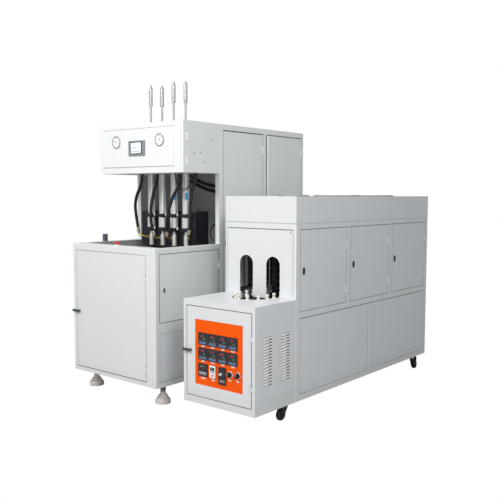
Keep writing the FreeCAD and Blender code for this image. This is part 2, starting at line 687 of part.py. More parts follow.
def tangent_path(name, points):
    """Straight runs joined by tangent arcs, each as large as its two runs allow."""
    corners = [V(*point) for point in points]
    edges, start, radii = [], corners[0], []
    for index in range(1, len(corners) - 1):
        before = corners[index - 1] - corners[index]
        after = corners[index + 1] - corners[index]
        turn = math.pi - before.getAngle(after)
        reach = RUN_SHARE * min(before.Length, after.Length)
        tangent_in = corners[index] + V(before).normalize() * reach
        tangent_out = corners[index] + V(after).normalize() * reach
        bend = reach / math.tan(turn / 2)
        towards = (V(before).normalize() + V(after).normalize()).normalize()
        centre = corners[index] + towards * math.hypot(bend, reach)
        middle = centre - towards * bend
        radii.append(round(bend))
        edges.append(Part.LineSegment(start, tangent_in).toShape())
        edges.append(Part.Arc(tangent_in, middle, tangent_out).toShape())
        start = tangent_out
    edges.append(Part.LineSegment(start, corners[-1]).toShape())
    print(f"{name}: bend radii in mm {radii}")
    return Part.Wire(edges)


def swept_tube(name, points, radius):
    """A round tube along the path, solid through, as hoses under pressure look."""
    path = tangent_path(name, points)
    start = V(*points[0])
    profile = Part.Wire([Part.Circle(start, V(*points[1]) - start, radius).toShape()])
    return path.makePipeShell([profile], True, False)


def numbers(points):
    """The points' lengths as plain numbers."""
    return [tuple(float(length) for length in point) for point in points]


def routed(low, high, corners):
    """Corners whose heights are shares of the way up from low to high, as plain numbers."""
    return numbers([(x, y, low + share * (high - low)) for x, y, share in corners])


def hose_routes():
    """Corner points of the blowing hoses, from inside the head down to their ferrules."""
    low, high = BLOW_HEAD_TOP, s.underside_height
    inside = 1 + s.hose_entry / (high - low)
    y, middle = STATIONS, MIDDLE
    inlets = [(x, depth, inside) for x, depth in hose_inlets()]
    return [routed(low, high, corners) for corners in (
        [inlets[0], (middle - 223, y - 80, 0.882), (middle - 253, y - 78, 0.765),
         (middle - 299, y - 71, 0.650), (middle - 332, y - 60, 0.500),
         (middle - 340, y - 46, 0.340), (middle - 337, y - 32, 0.175),
         (middle - 334, y - 20, 0.028)],
        [inlets[1], (middle - 42, y - 81, 0.885), (middle - 82, y - 85, 0.690),
         (middle - 112, y - 86, 0.470), (middle - 123, y - 80, 0.256),
         (middle - 120, y - 67, 0.120), (middle - 114, y - 50, -0.015)],
        [inlets[2], (middle + 226, y - 80, 0.890), (middle + 200, y - 83, 0.780),
         (middle + 148, y - 88, 0.655), (middle + 97, y - 90, 0.440),
         (middle + 70, y - 84, 0.240), (middle + 52, y - 70, 0.135),
         (middle + 34, y - 52, -0.010)],
        [inlets[3], (middle + 368, y - 66, 0.893), (middle + 328, y - 68, 0.730),
         (middle + 309, y - 66, 0.530), (middle + 298, y - 58, 0.310),
         (middle + 287, y - 47, 0.165), (middle + 262, y - 34, 0.030)])]


def inner_hose_routes():
    """Thick hoses that sag behind the head, from the cabinet's front wall to its partition."""
    wall, back = REAR_CABINET + s.skin, FRONT + s.partition_setback
    right = RIGHT
    low, high = s.table_height, s.underside_height
    return [routed(low, high, corners) for corners in (
        [(right - 509.5, wall, 1.066), (right - 509.5, wall + 60, 1.066),
         (right - 488.7, wall + 115, 1.031), (right - 449.5, wall + 154.5, 0.966),
         (right - 345.5, wall + 205, 0.858), (right - 232.5, wall + 249, 0.814),
         (right - 145, wall + 350, 0.844), (right - 108, wall + 460, 0.892),
         (right - 108, back, 0.892)],
        [(right - 580, wall, 1.046), (right - 580, wall + 60, 1.046),
         (right - 560.8, wall + 116, 1.013), (right - 507, wall + 177, 0.922),
         (right - 380, wall + 237, 0.787), (right - 250, wall + 282, 0.733),
         (right - 155, wall + 370, 0.759), (right - 112, wall + 470, 0.800),
         (right - 112, back, 0.800)])]


def cable_route():
    """The cable that loops out of the right pillar beside the stations and back into it."""
    wall, y = RIGHT - s.skin, REAR_CABINET + 25
    return routed(s.table_height, s.underside_height, [
        (wall, y, 0.303), (wall - 45, y, 0.303), (wall - 87, y - 1, 0.263),
        (wall - 117, y - 2, 0.167), (wall - 95, y - 1, 0.057), (wall - 45, y, 0.006),
        (wall, y, 0.006)])


def build_hoses():
    tubes = [swept_tube("blowing hose", route, float(s.hose_radius)) for route in hose_routes()]
    tubes += [swept_tube("inner hose", route, float(s.thick_hose_radius))
              for route in inner_hose_routes()]
    tubes.append(swept_tube("cable", cable_route(), float(s.cable_radius)))
    node("air_hoses", feature("hoses", Part.makeCompound(tubes)))


def build_elbows():
    """Brass elbows from each hose end into the side of its blow head."""
    pieces = []
    y, head_radius = float(STATIONS), float(s.blow_head_radius)
    hose_radius, long = float(s.hose_radius), float(s.ferrule_length)
    height = float(BLOW_HEAD_TOP - s.port_drop)
    for (number, x), route in zip(stations(), hose_routes()):
        end, before, x = V(*route[-1]), V(*route[-2]), float(x)
        along = (end - before).normalize()
        away = V(-1 if end.x < x else 1, 0, 0)
        entry = V(x, y, height) + away * (head_radius - 1)
        outside = V(x, y, height) + away * (head_radius + 26)
        below = end + along * 26
        bend = swept_tube("elbow", [tuple(end), tuple(below), tuple(outside), tuple(entry)],
                          float(s.elbow_radius))
        blow_head = Part.makeCylinder(head_radius, 80, V(x, y, height - 40))
        ferrule = Part.makeCylinder(float(s.ferrule_radius), long, end - along * (long - 4), along)
        hose_space = Part.makeCylinder(hose_radius, long, end - along * long, along)
        pieces.append(bend.cut(blow_head).fuse(ferrule.cut(hose_space)))
    node("hose_elbows", feature("elbows", Part.makeCompound(pieces)))


def build_pilot_tubes():
    """Thin white air tubes from the head to the caps, with their push-in fittings."""
    pieces = []
    y, half = float(STATIONS), float(s.cap_width) / 2
    low, high = float(BARREL_BOTTOM), float(s.underside_height)
    under, tube = high + float(s.hose_entry), float(s.tube_radius)
    inlets = [numbers([point])[0] for point in tube_inlets()]
    for (number, x), inlet in zip(stations(), inlets):
        x = float(x)
        for level, height in (("upper", float(UPPER_CAP)), ("lower", float(LOWER_CAP))):
            centre = height + float(s.cap_height) / 2
            out = x + half + 12
            screw = Part.makeCylinder(6, 14, V(x + half, y - 10, centre), V(1, 0, 0))
            push_in = Part.makeCylinder(6, 22, V(out, y - 10, centre - 4), V(0, 0, 1))
            fitting = screw.fuse(push_in)
            pieces.append(fitting)
            if level == "upper":
                route = [(out, y - 10, centre + 18), (out + 1, y - 11, low + 0.2405 * (high - low)),
                         (inlet[0], inlet[1], low + 0.753 * (high - low)),
                         (inlet[0], inlet[1], under)]
                pieces.append(swept_tube("pilot tube", route, tube))
    (start_x, loop_y), (end_x, end_y) = inlets[-2:]
    entry = 1 + float(s.hose_entry) / (high - low)
    loop = [(start_x, loop_y, entry), (start_x, loop_y, 0.854), (start_x + 50, loop_y - 6, 0.649),
            (start_x + 108, loop_y - 8, 0.573), (start_x + 160, loop_y - 6, 0.680),
            (end_x, end_y, 0.854), (end_x, end_y, entry)]
    pieces.append(swept_tube("loop tube", routed(low, high, loop), tube))
    node("pilot_tubes", feature("tubes", Part.makeCompound(pieces)))


# --------------------------------------------------------------------------- clamp
REAR_PLATEN = STATIONS + s.half_mould
FRONT_PLATEN = STATIONS - s.half_mould - s.platen_thickness - s.clamp_stroke
PLATEN_BOTTOM = s.well_floor + s.well_sheet + s.guide_height
CROSSHEAD = REAR_PLATEN + s.platen_thickness + s.clamp_barrel_length + 30


def platen(name, y, bottom):
    return box(name, MIDDLE - s.platen_half_width, y, bottom, 2 * s.platen_half_width,
               s.platen_thickness, s.platen_top - bottom)


def tie_places():
    return [(f"{side}_{level}", MIDDLE + sign * s.tie_spread, height)
            for side, sign in (("left", -1), ("right", 1))
            for level, height in (("low", s.tie_low), ("high", s.tie_high))]


def mould_bolts(name, face, direction):
    """Four tapped holes for a mould half, drilled into the platen from its working face."""
    middle = (s.tie_low + s.tie_high) / 2
    holes = []
    for side, sign in (("left", -1), ("right", 1)):
        for level, rise in (("low", -1), ("high", 1)):
            start = face - 5 if direction > 0 else face - s.mould_bolt_depth
            holes.append(rod(f"{name}_{side}_{level}", MIDDLE + sign * s.mould_bolt_span / 2, start,
                             middle + rise * s.mould_bolt_rise / 2, s.mould_bolt_radius,
                             s.mould_bolt_depth + 5, "y"))
    return holes


def build_clamp():
    floor = s.well_floor + s.well_sheet
    guides = [box(f"guide_{side}", MIDDLE + sign * s.tie_spread - s.guide_width / 2,
                  FRONT + s.rim_depth + 40, floor, s.guide_width,
                  s.well_back - s.rim_depth - 60, s.guide_height)
              for side, sign in (("left", -1), ("right", 1))]
    plate = platen("rear_platen_blank", REAR_PLATEN, PLATEN_BOTTOM)
    ways = [rod(f"rear_tie_way_{place}", x, REAR_PLATEN - 5, height,
                s.tie_radius + s.running_play, s.platen_thickness + 10, "y")
            for place, x, height in tie_places()]
    bolts = mould_bolts("rear_bolt", REAR_PLATEN, 1)
    node("clamp_frame", cut("clamp_fixed", fuse("clamp_blank", [plate, *guides]), [*ways, *bolts]))

    middle = (s.tie_low + s.tie_high) / 2
    barrel_start = REAR_PLATEN + s.platen_thickness
    barrel = rod("clamp_barrel", MIDDLE, barrel_start, middle, s.clamp_barrel_radius,
                 s.clamp_barrel_length, "y")
    flange = box("clamp_flange", MIDDLE - 75, barrel_start, middle - 75, 150, 20, 150)
    gland = box("clamp_gland", MIDDLE - 70, barrel_start + s.clamp_barrel_length - 20, middle - 70,
                140, 20, 140)
    bore = rod("clamp_bore", MIDDLE, barrel_start + 30, middle,
               s.clamp_rod_radius + s.running_play, s.clamp_barrel_length, "y")
    node("clamp_cylinder", cut("clamp_cylinder_cut",
                               fuse("clamp_cylinder_parts", [barrel, flange, gland]), [bore]))

    plate = platen("front_platen_blank", FRONT_PLATEN, PLATEN_BOTTOM + s.running_play)
    seats = [rod(f"front_tie_seat_{place}", x, FRONT_PLATEN - 5, height, s.tie_radius,
                 s.platen_thickness + 10, "y") for place, x, height in tie_places()]
    bolts = mould_bolts("front_bolt", FRONT_PLATEN + s.platen_thickness, -1)
    node("front_platen", cut("front_platen_cut", plate, [*seats, *bolts]))

    bars = []
    length = CROSSHEAD + s.crosshead_thickness - FRONT_PLATEN
    for place, x, height in tie_places():
        bar = rod(f"tie_bar_{place}", x, FRONT_PLATEN, height, s.tie_radius, length, "y")
        head = rod(f"tie_nut_{place}", x, FRONT_PLATEN - s.tie_end, height, s.tie_radius + 12,
                   s.tie_end, "y")
        tail = rod(f"tie_tail_{place}", x, CROSSHEAD + s.crosshead_thickness, height,
                   s.tie_radius + 12, s.tie_end, "y")
        bars.append(fuse(f"tie_{place}", [bar, head, tail]))
    node("tie_bars", group("tie_group", bars))

    plate = box("crosshead_plate", MIDDLE - s.platen_half_width, CROSSHEAD,
                PLATEN_BOTTOM + s.running_play, 2 * s.platen_half_width, s.crosshead_thickness,
                s.platen_top - PLATEN_BOTTOM - s.running_play)
    ram = rod("clamp_ram", MIDDLE, CROSSHEAD - 60, middle, s.clamp_rod_radius,
              80, "y")
    seats = [rod(f"crosshead_seat_{place}", x, CROSSHEAD - 5, height, s.tie_radius,
                 s.crosshead_thickness + 10, "y") for place, x, height in tie_places()]
    node("clamp_crosshead", cut("crosshead_cut", fuse("crosshead_parts", [plate, ram]), seats))


# --------------------------------------------------------------------------- feet and small parts
def build_feet():
    """Screw feet: a bell pad on the floor, a stud and two nuts up to the cabinet's floor."""
    pad = s.foot_pad_radius
    profile = [(0, 0), (pad, 0), (pad, 12), (pad * 0.66, 40), (pad * 0.52, 58), (pad * 0.36, 62),
               (pad * 0.36, 74), (s.foot_stud_radius, 76), (s.foot_stud_radius, 112),
               (19, 112), (19, s.base_clearance), (0, s.base_clearance)]
    feet = []
    for side, x in (("left", LEFT + s.foot_inset_x), ("right", RIGHT - s.foot_inset_x)):
        for row, y in (("near", FRONT + s.foot_inset_y), ("far", REAR - s.foot_inset_y)):
            foot = revolved(f"foot_{side}_{row}", profile)
            feet.append(bind(foot, x=x, y=y))
    node("levelling_feet", group("foot_group", feet))


def build_sensor_and_stop():
    block = box("sensor", LEFT + 8, FRONT + s.head_setback, s.table_height, 30, 60, 86)
    node("sensor_block", block)
    x, y, top = MIDDLE, FRONT + s.rim_depth / 2, s.table_height
    stem = rod("stop_stem", x, y, top - 15, s.stop_stem_radius, 25)
    mushroom = cone("stop_head", x, y, top + 13, 13, 20, 8)
    crown = cone("stop_crown", x, y, top + 21, 20, 14, 6)
    node("emergency_stop", fuse("stop_button", [stem, mushroom, crown]))


# --------------------------------------------------------------------------- doors of the blower
def latch(name, side, u, height, reach):
    """A lever that turns on a boss and carries a cam behind the door, parked clear of the jamb."""
    lever = side.box(f"{name}_lever", u - reach, -18, height - 8, reach + 8, 10, 16)
    boss = side.stud(f"{name}_boss", u, -18, height, 10, 18)
    behind = s.skin + s.door_depth + s.door_gap + 1
    stem = side.stud(f"{name}_stem", u, -9, height, s.latch_stem_radius, behind + 9 + 4)
    cam = side.box(f"{name}_cam", u - 7, behind, height - 40, 14, 4, 47)
    return fuse(f"{name}_piece", [lever, boss, stem, cam])


def lock_boss(name, side, u, height):
    """The oval push lock of a side door, fixed to it: a box between two round ends."""
    half, rise = s.lock_width / 2, (s.lock_height - s.lock_width) / 2
    deep = s.lock_proud + s.door_sheet
    middle = side.box(f"{name}_middle", u - half, -s.lock_proud, height - rise, s.lock_width, deep,
                      2 * rise)
    ends = [side.stud(f"{name}_{end}", u, -s.lock_proud, height + sign * rise, half, deep)
            for end, sign in (("low", -1), ("high", 1))]
    return fuse(name, [middle, *ends])


def build_blower_doors():
    hole = BASE_FRONT.stud("base_latch_hole", s.base_door_left + 30, -2, s.base_latch_height,
                           s.latch_stem_radius + s.running_play, s.door_depth + 4)
    node("base_front_door", base_door.door(holes=[hole]))
    node("base_front_latch", latch("base_latch", BASE_FRONT, s.base_door_left + 30,
                                   s.base_latch_height, 72))
    node("base_side_door", side_door.door(
        extras=[lock_boss("base_side_lock", BASE_SIDE, s.side_door_near + 43, 847)]))
    for number, door in enumerate(rear_doors, start=1):
        lock = lock_boss(f"rear_lock_{number}", BASE_SIDE, door.left + 30, 1150)
        node(f"rear_door_{number}", door.door(extras=[lock]))


def build_head_door():
    """The cap that closes the head's front, hinged on the right side of the head."""
    depth, fold = s.head_door_depth, s.door_sheet
    height = s.blower_height - s.underside_height
    blank = box("head_door_blank", LEFT, HEAD_FRONT, s.underside_height, s.blower_width, depth,
                height)
    hollow = box("head_door_hollow", LEFT + fold, HEAD_FRONT + fold, s.underside_height + fold,
                 s.blower_width - 2 * fold, depth, height - 2 * fold)
    holes = [rod(f"gauge_hole_{side}", LEFT + u, HEAD_FRONT - 1, s.gauge_height,
                 s.gauge_radius - 5, 10, "y")
             for side, u in (("left", s.gauge_left), ("right", s.gauge_right))]
    holes.append(box("screen_hole", LEFT + s.screen_left + 8, HEAD_FRONT - 1,
                     s.screen_bottom + 8, s.screen_width - 16, 10, s.screen_height - 16))
    axis_x, axis_y = RIGHT + s.hinge_radius, HEAD_FRONT + depth + 0.2
    halves, bores = [], []
    for index, bottom in enumerate((s.underside_height + 53, s.blower_height - 148), start=1):
        middle = bottom + s.hinge_height / 2
        halves.append(rod(f"head_knuckle_{index}", axis_x, axis_y, middle + 0.5, s.hinge_radius,
                          s.hinge_height / 2 - 0.5))
        halves.append(box(f"head_leaf_{index}", RIGHT, axis_y - s.hinge_leaf, middle + 0.5,
                          s.leaf_thickness, s.hinge_leaf, s.hinge_height / 2 - 0.5))
        bores.append(rod(f"head_bore_{index}", axis_x, axis_y, middle,
                         s.hinge_pin_radius + s.hinge_play, s.hinge_height / 2 - 3))
        seat = rod(f"head_seat_{index}", axis_x, axis_y, bottom, s.hinge_radius,
                   s.hinge_height / 2)
        pin = rod(f"head_pin_{index}", axis_x, axis_y, bottom, s.hinge_pin_radius,
                  s.hinge_height - 4)
        plate = box(f"head_plate_{index}", RIGHT, axis_y, bottom, s.leaf_thickness, s.hinge_leaf,
                    s.hinge_height / 2)
        hinge_halves.append(fuse(f"head_fixed_{index}", [seat, pin, plate]))
    groove_wide = s.blower_width - 2 * s.groove_side
    groove_tall = height - s.groove_low - s.groove_high
    ring = box("head_groove_outer", LEFT + s.groove_side, HEAD_FRONT - 1,
               s.underside_height + s.groove_low, groove_wide, s.groove_depth + 1, groove_tall)
    island = box("head_groove_inner", LEFT + s.groove_side + s.groove_width, HEAD_FRONT - 2,
                 s.underside_height + s.groove_low + s.groove_width,
                 groove_wide - 2 * s.groove_width, s.groove_depth + 4,
                 groove_tall - 2 * s.groove_width)
    groove = cut("head_groove", ring, [island])
    shell = cut("head_door_pan", blank, [hollow, groove, *holes])
    node("head_front_door", cut("head_door", fuse("head_door_welded", [shell, *halves]), bores))


def build_head_instruments():
    gauges = []
    for side, u in (("left", s.gauge_left), ("right", s.gauge_right)):
        case = rod(f"gauge_case_{side}", LEFT + u, HEAD_FRONT + 4, s.gauge_height,
                   s.gauge_radius - 6, 24, "y")
        bezel = rod(f"gauge_bezel_{side}", LEFT + u, HEAD_FRONT - 8, s.gauge_height,
                    s.gauge_radius, 8, "y")
        neck = rod(f"gauge_neck_{side}", LEFT + u, HEAD_FRONT, s.gauge_height,
                   s.gauge_radius - 6, 6, "y")
        dish = rod(f"gauge_dish_{side}", LEFT + u, HEAD_FRONT - 9, s.gauge_height,
                   s.gauge_radius - 5, 5, "y")
        gauges.append(cut(f"gauge_{side}", fuse(f"gauge_parts_{side}", [case, neck, bezel]),
                          [dish]))
    node("pressure_gauges", group("gauge_group", gauges))

    left, bottom = LEFT + s.screen_left, s.screen_bottom
    bezel = box("screen_bezel", left, HEAD_FRONT - 7, bottom, s.screen_width, 7, s.screen_height)
    case = box("screen_case", left + 10, HEAD_FRONT - 1, bottom + 10, s.screen_width - 20, 28,
               s.screen_height - 20)
    glass = box("screen_glass", left + 24, HEAD_FRONT - 9, bottom + 26, s.screen_width - 62, 4,
                s.screen_height - 48)
    node("touch_screen", cut("screen", fuse("screen_parts", [bezel, case]), [glass]))


# --------------------------------------------------------------------------- heater cabinet
def build_heater_cabinet():
    """The low front cabinet and the tall tunnel cabinet behind it, butted at a seam."""
    node("heater_cabinet", group("heater_cabinets", [front_cabinet(), tunnel_cabinet()]))


def caster_plates(end):
    """Plates under the floor at one end of the heater, and the holes for their king pins."""
    places = [place for place in caster_places() if place[0].startswith(end)]
    half, top = s.caster_plate_width / 2, s.heater_clearance
    plates = [box(f"{name}_plate", x - half, y - half, top - s.caster_plate,
                  s.caster_plate_width, s.caster_plate_width, s.caster_plate)
              for name, x, y, heading in places]
    holes = [rod(f"{name}_pin_hole", x, y, top - s.caster_plate - 1,
                 s.king_pin_radius + s.running_play, s.caster_plate)
             for name, x, y, heading in places]
    return plates, holes


def front_cabinet():
    """Floor, front, two sides and the table, open at the back into the tunnel cabinet."""
    height = s.heater_table - s.heater_clearance
    skin = s.skin
    outer = box("front_outer", HEATER_LEFT, HEATER_FRONT, s.heater_clearance, s.heater_width,
                s.tunnel_setback, height)
    inner = box("front_inner", HEATER_LEFT + skin, HEATER_FRONT + skin,
                s.heater_clearance + skin, s.heater_width - 2 * skin, s.tunnel_setback,
                height - 2 * skin)
    shell = cut("front_shell", outer, [inner])
    plates, pin_holes = caster_plates("front")
    framed = fuse("front_framed", [shell, control_door.jamb(), *plates])
    round_slot = rod("slot_round", HEATER_MIDDLE, CHAIN_FRONT, s.heater_table - 10, s.slot_radius,
                     20)
    straight_slot = box("slot_straight", HEATER_MIDDLE - s.slot_radius, CHAIN_FRONT,
                        s.heater_table - 10, 2 * s.slot_radius, TUNNEL_FRONT - CHAIN_FRONT + 1, 20)
    louvre_way = panel_way("louvre_way", HEATER_SIDE, s.louvre_near_margin, LOUVRE_FAR,
                           s.louvre_bottom, s.louvre_top)
    return cut("front_cabinet", framed, [*control_door.cutters(), *pin_holes, round_slot,
                                         straight_slot, louvre_way])


def tunnel_cabinet():
    """The tall box round the tunnel; its front wall starts above the table and holds the arches."""
    height = s.roof_line - s.heater_clearance
    length = s.heater_length - s.tunnel_setback
    skin = s.skin
    outer = box("tunnel_outer", HEATER_LEFT, TUNNEL_FRONT, s.heater_clearance, s.heater_width,
                length, height)
    inner = box("tunnel_inner", HEATER_LEFT + skin, TUNNEL_FRONT + skin,
                s.heater_clearance + skin, s.heater_width - 2 * skin, length - 2 * skin, height)
    shell = cut("tunnel_shell", outer, [inner])
    plates, pin_holes = caster_plates("rear")
    framed = fuse("tunnel_framed", [shell, *[door.jamb() for door in heater_doors], *plates])
    low_way = box("tunnel_low_way", HEATER_LEFT + skin, TUNNEL_FRONT - 1,
                  s.heater_clearance + skin, s.heater_width - 2 * skin, skin + 2,
                  s.heater_table - s.heater_clearance - 2 * skin)
    slot = box("tunnel_slot", HEATER_MIDDLE - s.slot_radius, TUNNEL_FRONT - 1,
               s.heater_table - 60, 2 * s.slot_radius, skin + 2, 61)
    window = panel_way("tunnel_way", TUNNEL_FACE, s.tunnel_panel_left,
                       s.heater_width - s.tunnel_panel_right, s.heater_table, TUNNEL_PANEL_TOP)
    tools = [low_way, slot, window, *pin_holes]
    for door in heater_doors:
        tools.extend(door.cutters())
    for name, near, far in low_panels():
        tools.append(panel_way(f"{name}_way", HEATER_SIDE, near, far, s.low_panel_bottom,
                               s.low_panel_top))
    return cut("tunnel_cabinet", framed, tools)


def low_panels():
    middle = LOW_PANEL_NEAR + s.low_panel_length
    return [("low_panel_1", LOW_PANEL_NEAR, middle),
            ("low_panel_2", middle + s.low_panel_gap, LOW_PANEL_FAR)]


def build_fixed_panels():
    panels = [fixed_panel("base_panel", BASE_SIDE, s.side_panel_near, s.side_panel_far,
                          s.side_panel_bottom, s.side_panel_top)]
    for name, near, far in low_panels():
        panels.append(fixed_panel(name, HEATER_SIDE, near, far, s.low_panel_bottom,
                                  s.low_panel_top))
    panels.append(louvre_panel())
    node("fixed_side_panels", group("panel_group", panels))


def louvre_panel():
    """Two columns of pressed louvres: a slot through the plate under each sloping hood."""
    plate = fixed_panel("louvre", HEATER_SIDE, s.louvre_near_margin, LOUVRE_FAR, s.louvre_bottom,
                        s.louvre_top)
    count = int(s.louvre_count.number)
    pitch = (s.louvre_top - s.louvre_bottom - 24) / count
    hoods, slots = [], []
    for column, near in (("near", s.louvre_near_margin + 14), ("far", LOUVRE_FAR - 14 - s.louvre_length)):
        for index in range(count):
            name = f"louvre_{column}_{index + 1}"
            bottom = s.louvre_bottom + 12 + index * pitch
            hood = doc.addObject("Part::Wedge", f"{name}_hood")
            bind(hood, x=HEATER_RIGHT - 0.5, y=HEATER_FRONT + near, z=bottom,
                 Xmin=0, Xmax=s.louvre_reach + 0.5, X2min=0, X2max=0.5,
                 Ymin=0, Ymax=s.louvre_length, Zmin=0, Zmax=s.louvre_rise,
                 Z2min=0, Z2max=s.louvre_rise)
            hoods.append(hood)
            slots.append(box(f"{name}_slot", HEATER_RIGHT - s.skin - 5, HEATER_FRONT + near + 3,
                             bottom - 1, s.skin + 7, s.louvre_length - 6, 5))
    return cut("louvre_plate", fuse("louvre_hooded", [plate, *hoods]), slots)


def build_tunnel_front():
    """The inset front of the tunnel with an arch for each leg of the chain."""
    holes = []
    for name, sign in (("entry", -1), ("exit", 1)):
        x = HEATER_MIDDLE + sign * s.chain_radius
        straight = s.heater_table + s.arch_rise - s.arch_half
        holes.append(box(f"{name}_straight", x - s.arch_half, TUNNEL_FRONT - 1, s.heater_table - 30,
                         2 * s.arch_half, 20, straight - s.heater_table + 30))
        holes.append(rod(f"{name}_round", x, TUNNEL_FRONT - 1, straight, s.arch_half, 20, "y"))
    panel = fixed_panel("tunnel_front", TUNNEL_FACE, s.tunnel_panel_left,
                        s.heater_width - s.tunnel_panel_right, s.heater_table, TUNNEL_PANEL_TOP,
                        holes)
    node("tunnel_front_panel", panel)


def fan_places():
    """Each roof fan's place along the tunnel, as a share of its length, and its radius."""
    return [(0.203, s.small_fan_radius), (0.5, s.fan_radius), (0.773, s.fan_radius)]


def build_roof():
    """The hood over the tunnel, with three fan openings in its top and a low ring round each."""
    height = s.tunnel_top - s.roof_line
    length = s.heater_length - s.tunnel_setback
    outer = box("roof_outer", HEATER_LEFT, TUNNEL_FRONT, s.roof_line, s.heater_width, length,
                height)
    inner = box("roof_inner", HEATER_LEFT + s.skin, TUNNEL_FRONT + s.skin, s.roof_line - 1,
                s.heater_width - 2 * s.skin, length - 2 * s.skin, height - s.skin + 1)
    rings, ways = [], []
    for number, (share, radius) in enumerate(fan_places(), start=1):
        y = TUNNEL_FRONT + share * length
        rings.append(rod(f"fan_ring_{number}", HEATER_MIDDLE, y, s.tunnel_top - s.skin, radius,
                         s.skin + s.fan_ring_height))
        ways.append(rod(f"fan_way_{number}", HEATER_MIDDLE, y, s.tunnel_top - 20,
                        radius - s.fan_ring_width, 50))
    node("roof_hood", cut("roof", fuse("roof_ringed", [outer, *rings]), [inner, *ways]))


# --------------------------------------------------------------------------- inside the tunnel
def chain_loop(spacing):
    """Points and headings at even steps round the two straight legs and the two turns."""
    radius = float(s.chain_radius)
    x0, front, rear = float(HEATER_MIDDLE), float(CHAIN_FRONT), float(CHAIN_REAR)
    straight, turn = rear - front, math.pi * radius
    count = round(2 * (straight + turn) / spacing)
    places = []
    for index in range(count):
        run = index * 2 * (straight + turn) / count
        if run < straight:
            places.append((x0 - radius, front + run, 90))
        elif run < straight + turn:
            angle = math.pi - (run - straight) / radius
            places.append((x0 + radius * math.cos(angle), rear + radius * math.sin(angle),
                           math.degrees(angle) - 90))
        elif run < 2 * straight + turn:
            places.append((x0 + radius, rear - (run - straight - turn), -90))
        else:
            angle = -(run - 2 * straight - turn) / radius
            places.append((x0 + radius * math.cos(angle), front + radius * math.sin(angle),
                           math.degrees(angle) - 90))
    return places


def build_chain():
    """One band of links round the loop, and the two sprocket discs that it runs on."""
    radius, wide, high = float(s.chain_radius), float(s.chain_width), float(s.chain_thickness)
    bottom = float(CHAIN_TOP) - high
    x0, front, rear = float(HEATER_MIDDLE), float(CHAIN_FRONT), float(CHAIN_REAR)

    def slab(reach, low, tall):
        block = Part.makeBox(2 * reach, rear - front, tall, V(x0 - reach, front, low))
        for y in (front, rear):
            block = block.fuse(Part.makeCylinder(reach, tall, V(x0, y, low)))
        return block.removeSplitter()

    band = slab(radius + wide / 2, bottom, high).cut(slab(radius - wide / 2, bottom - 1, high + 2))
    discs = []
    for y in (front, rear):
        disc = Part.makeCylinder(radius - wide / 2 - 1, 8, V(x0, y, bottom + 2))
        hub = Part.makeCylinder(30, 40, V(x0, y, bottom - 30))
        discs.append(disc.fuse(hub))
    node("preform_chain", feature("chain", Part.makeCompound([band, *discs])))


def build_holders():
    """A tapered cup on every second link, each on its own spigot."""
    low, high = float(s.holder_radius), float(s.holder_top_radius)
    base = float(CHAIN_TOP)
    tall = float(s.holder_height)
    cup = Part.makeCone(low, high, tall * 0.6, V(0, 0, base + 4))
    tip = Part.makeCylinder(high, tall * 0.4, V(0, 0, base + 4 + tall * 0.6))
    stem = Part.makeCylinder(5, 4, V(0, 0, base))
    holder = cup.fuse([tip, stem]).removeSplitter()
    holders = []
    for x, y, heading in chain_loop(float(s.holder_pitch)):
        copy = holder.copy()
        copy.translate(V(x, y, 0))
        holders.append(copy)
    node("preform_holders", feature("holders", Part.makeCompound(holders)))


def build_conveyor_frame():
    """Two channels that carry the chain, on cross bars between the cabinet's walls."""
    length = CHAIN_REAR - CHAIN_FRONT
    wide = s.cross_bar_width
    legs = [(side, HEATER_MIDDLE + sign * s.chain_radius - s.rail_width / 2)
            for side, sign in (("left", -1), ("right", 1))]
    parts = [box(f"rail_{side}", x, CHAIN_FRONT + 60, RAIL_BOTTOM, s.rail_width, length - 120,
                 s.rail_height) for side, x in legs]
    for index in range(4):
        y = CHAIN_FRONT + 150 + index * (length - 350) / 3
        parts.append(box(f"cross_bar_{index}", HEATER_LEFT + s.skin, y, CROSS_BAR_BOTTOM,
                         s.heater_width - 2 * s.skin, wide, s.cross_bar_height))
        for side, x in legs:
            parts.append(box(f"upright_{side}_{index}", x, y, CROSS_BAR_TOP, s.rail_width, wide,
                             s.upright_height))
        parts.append(box(f"lamp_post_{index}", HEATER_MIDDLE - s.reflector_sheet, y,
                         CROSS_BAR_TOP, 20, wide, s.lamp_rise - s.lamp_margin))
    for place, y in (("front", CHAIN_FRONT), ("rear", CHAIN_REAR)):
        parts.append(box(f"bearing_{place}", HEATER_MIDDLE - 45, y - 45, CROSS_BAR_TOP, 90, 90,
                         s.upright_height))
    parts.append(box("spine", HEATER_MIDDLE - 30, CHAIN_FRONT - 45, CROSS_BAR_BOTTOM, 60,
                     length + 90, s.cross_bar_height))
    node("conveyor_frame", fuse("conveyor_parts", parts))


def build_lamps():
    """A reflector down each side of the tunnel, and its rows of quartz lamps."""
    banks, lamps = [], []
    start = TUNNEL_FRONT + s.reflector_near_margin
    length = HEATER_REAR - s.reflector_far_margin - start
    count = int(s.lamp_count.number)
    bottom, tall = LAMP_FIRST - s.lamp_margin, count * s.lamp_pitch + 20
    sheet = s.reflector_sheet
    for side, x in (("left", HEATER_LEFT + s.skin), ("right", HEATER_MIDDLE - sheet)):
        back = box(f"reflector_{side}", x, start, bottom, sheet, length, tall)
        ends = [box(f"reflector_{side}_{place}", x, y, bottom, s.reflector_depth, 6, tall)
                for place, y in (("near", start), ("far", start + length - 6))]
        banks.append(fuse(f"reflector_bank_{side}", [back, *ends]))
        for index in range(count):
            lamps.append(rod(f"lamp_{side}_{index + 1}", x + 28, start + 6,
                             LAMP_FIRST + index * s.lamp_pitch, s.lamp_radius, length - 12, "y"))
    node("reflector_banks", group("reflector_group", banks))
    node("infrared_lamps", group("lamp_group", lamps))


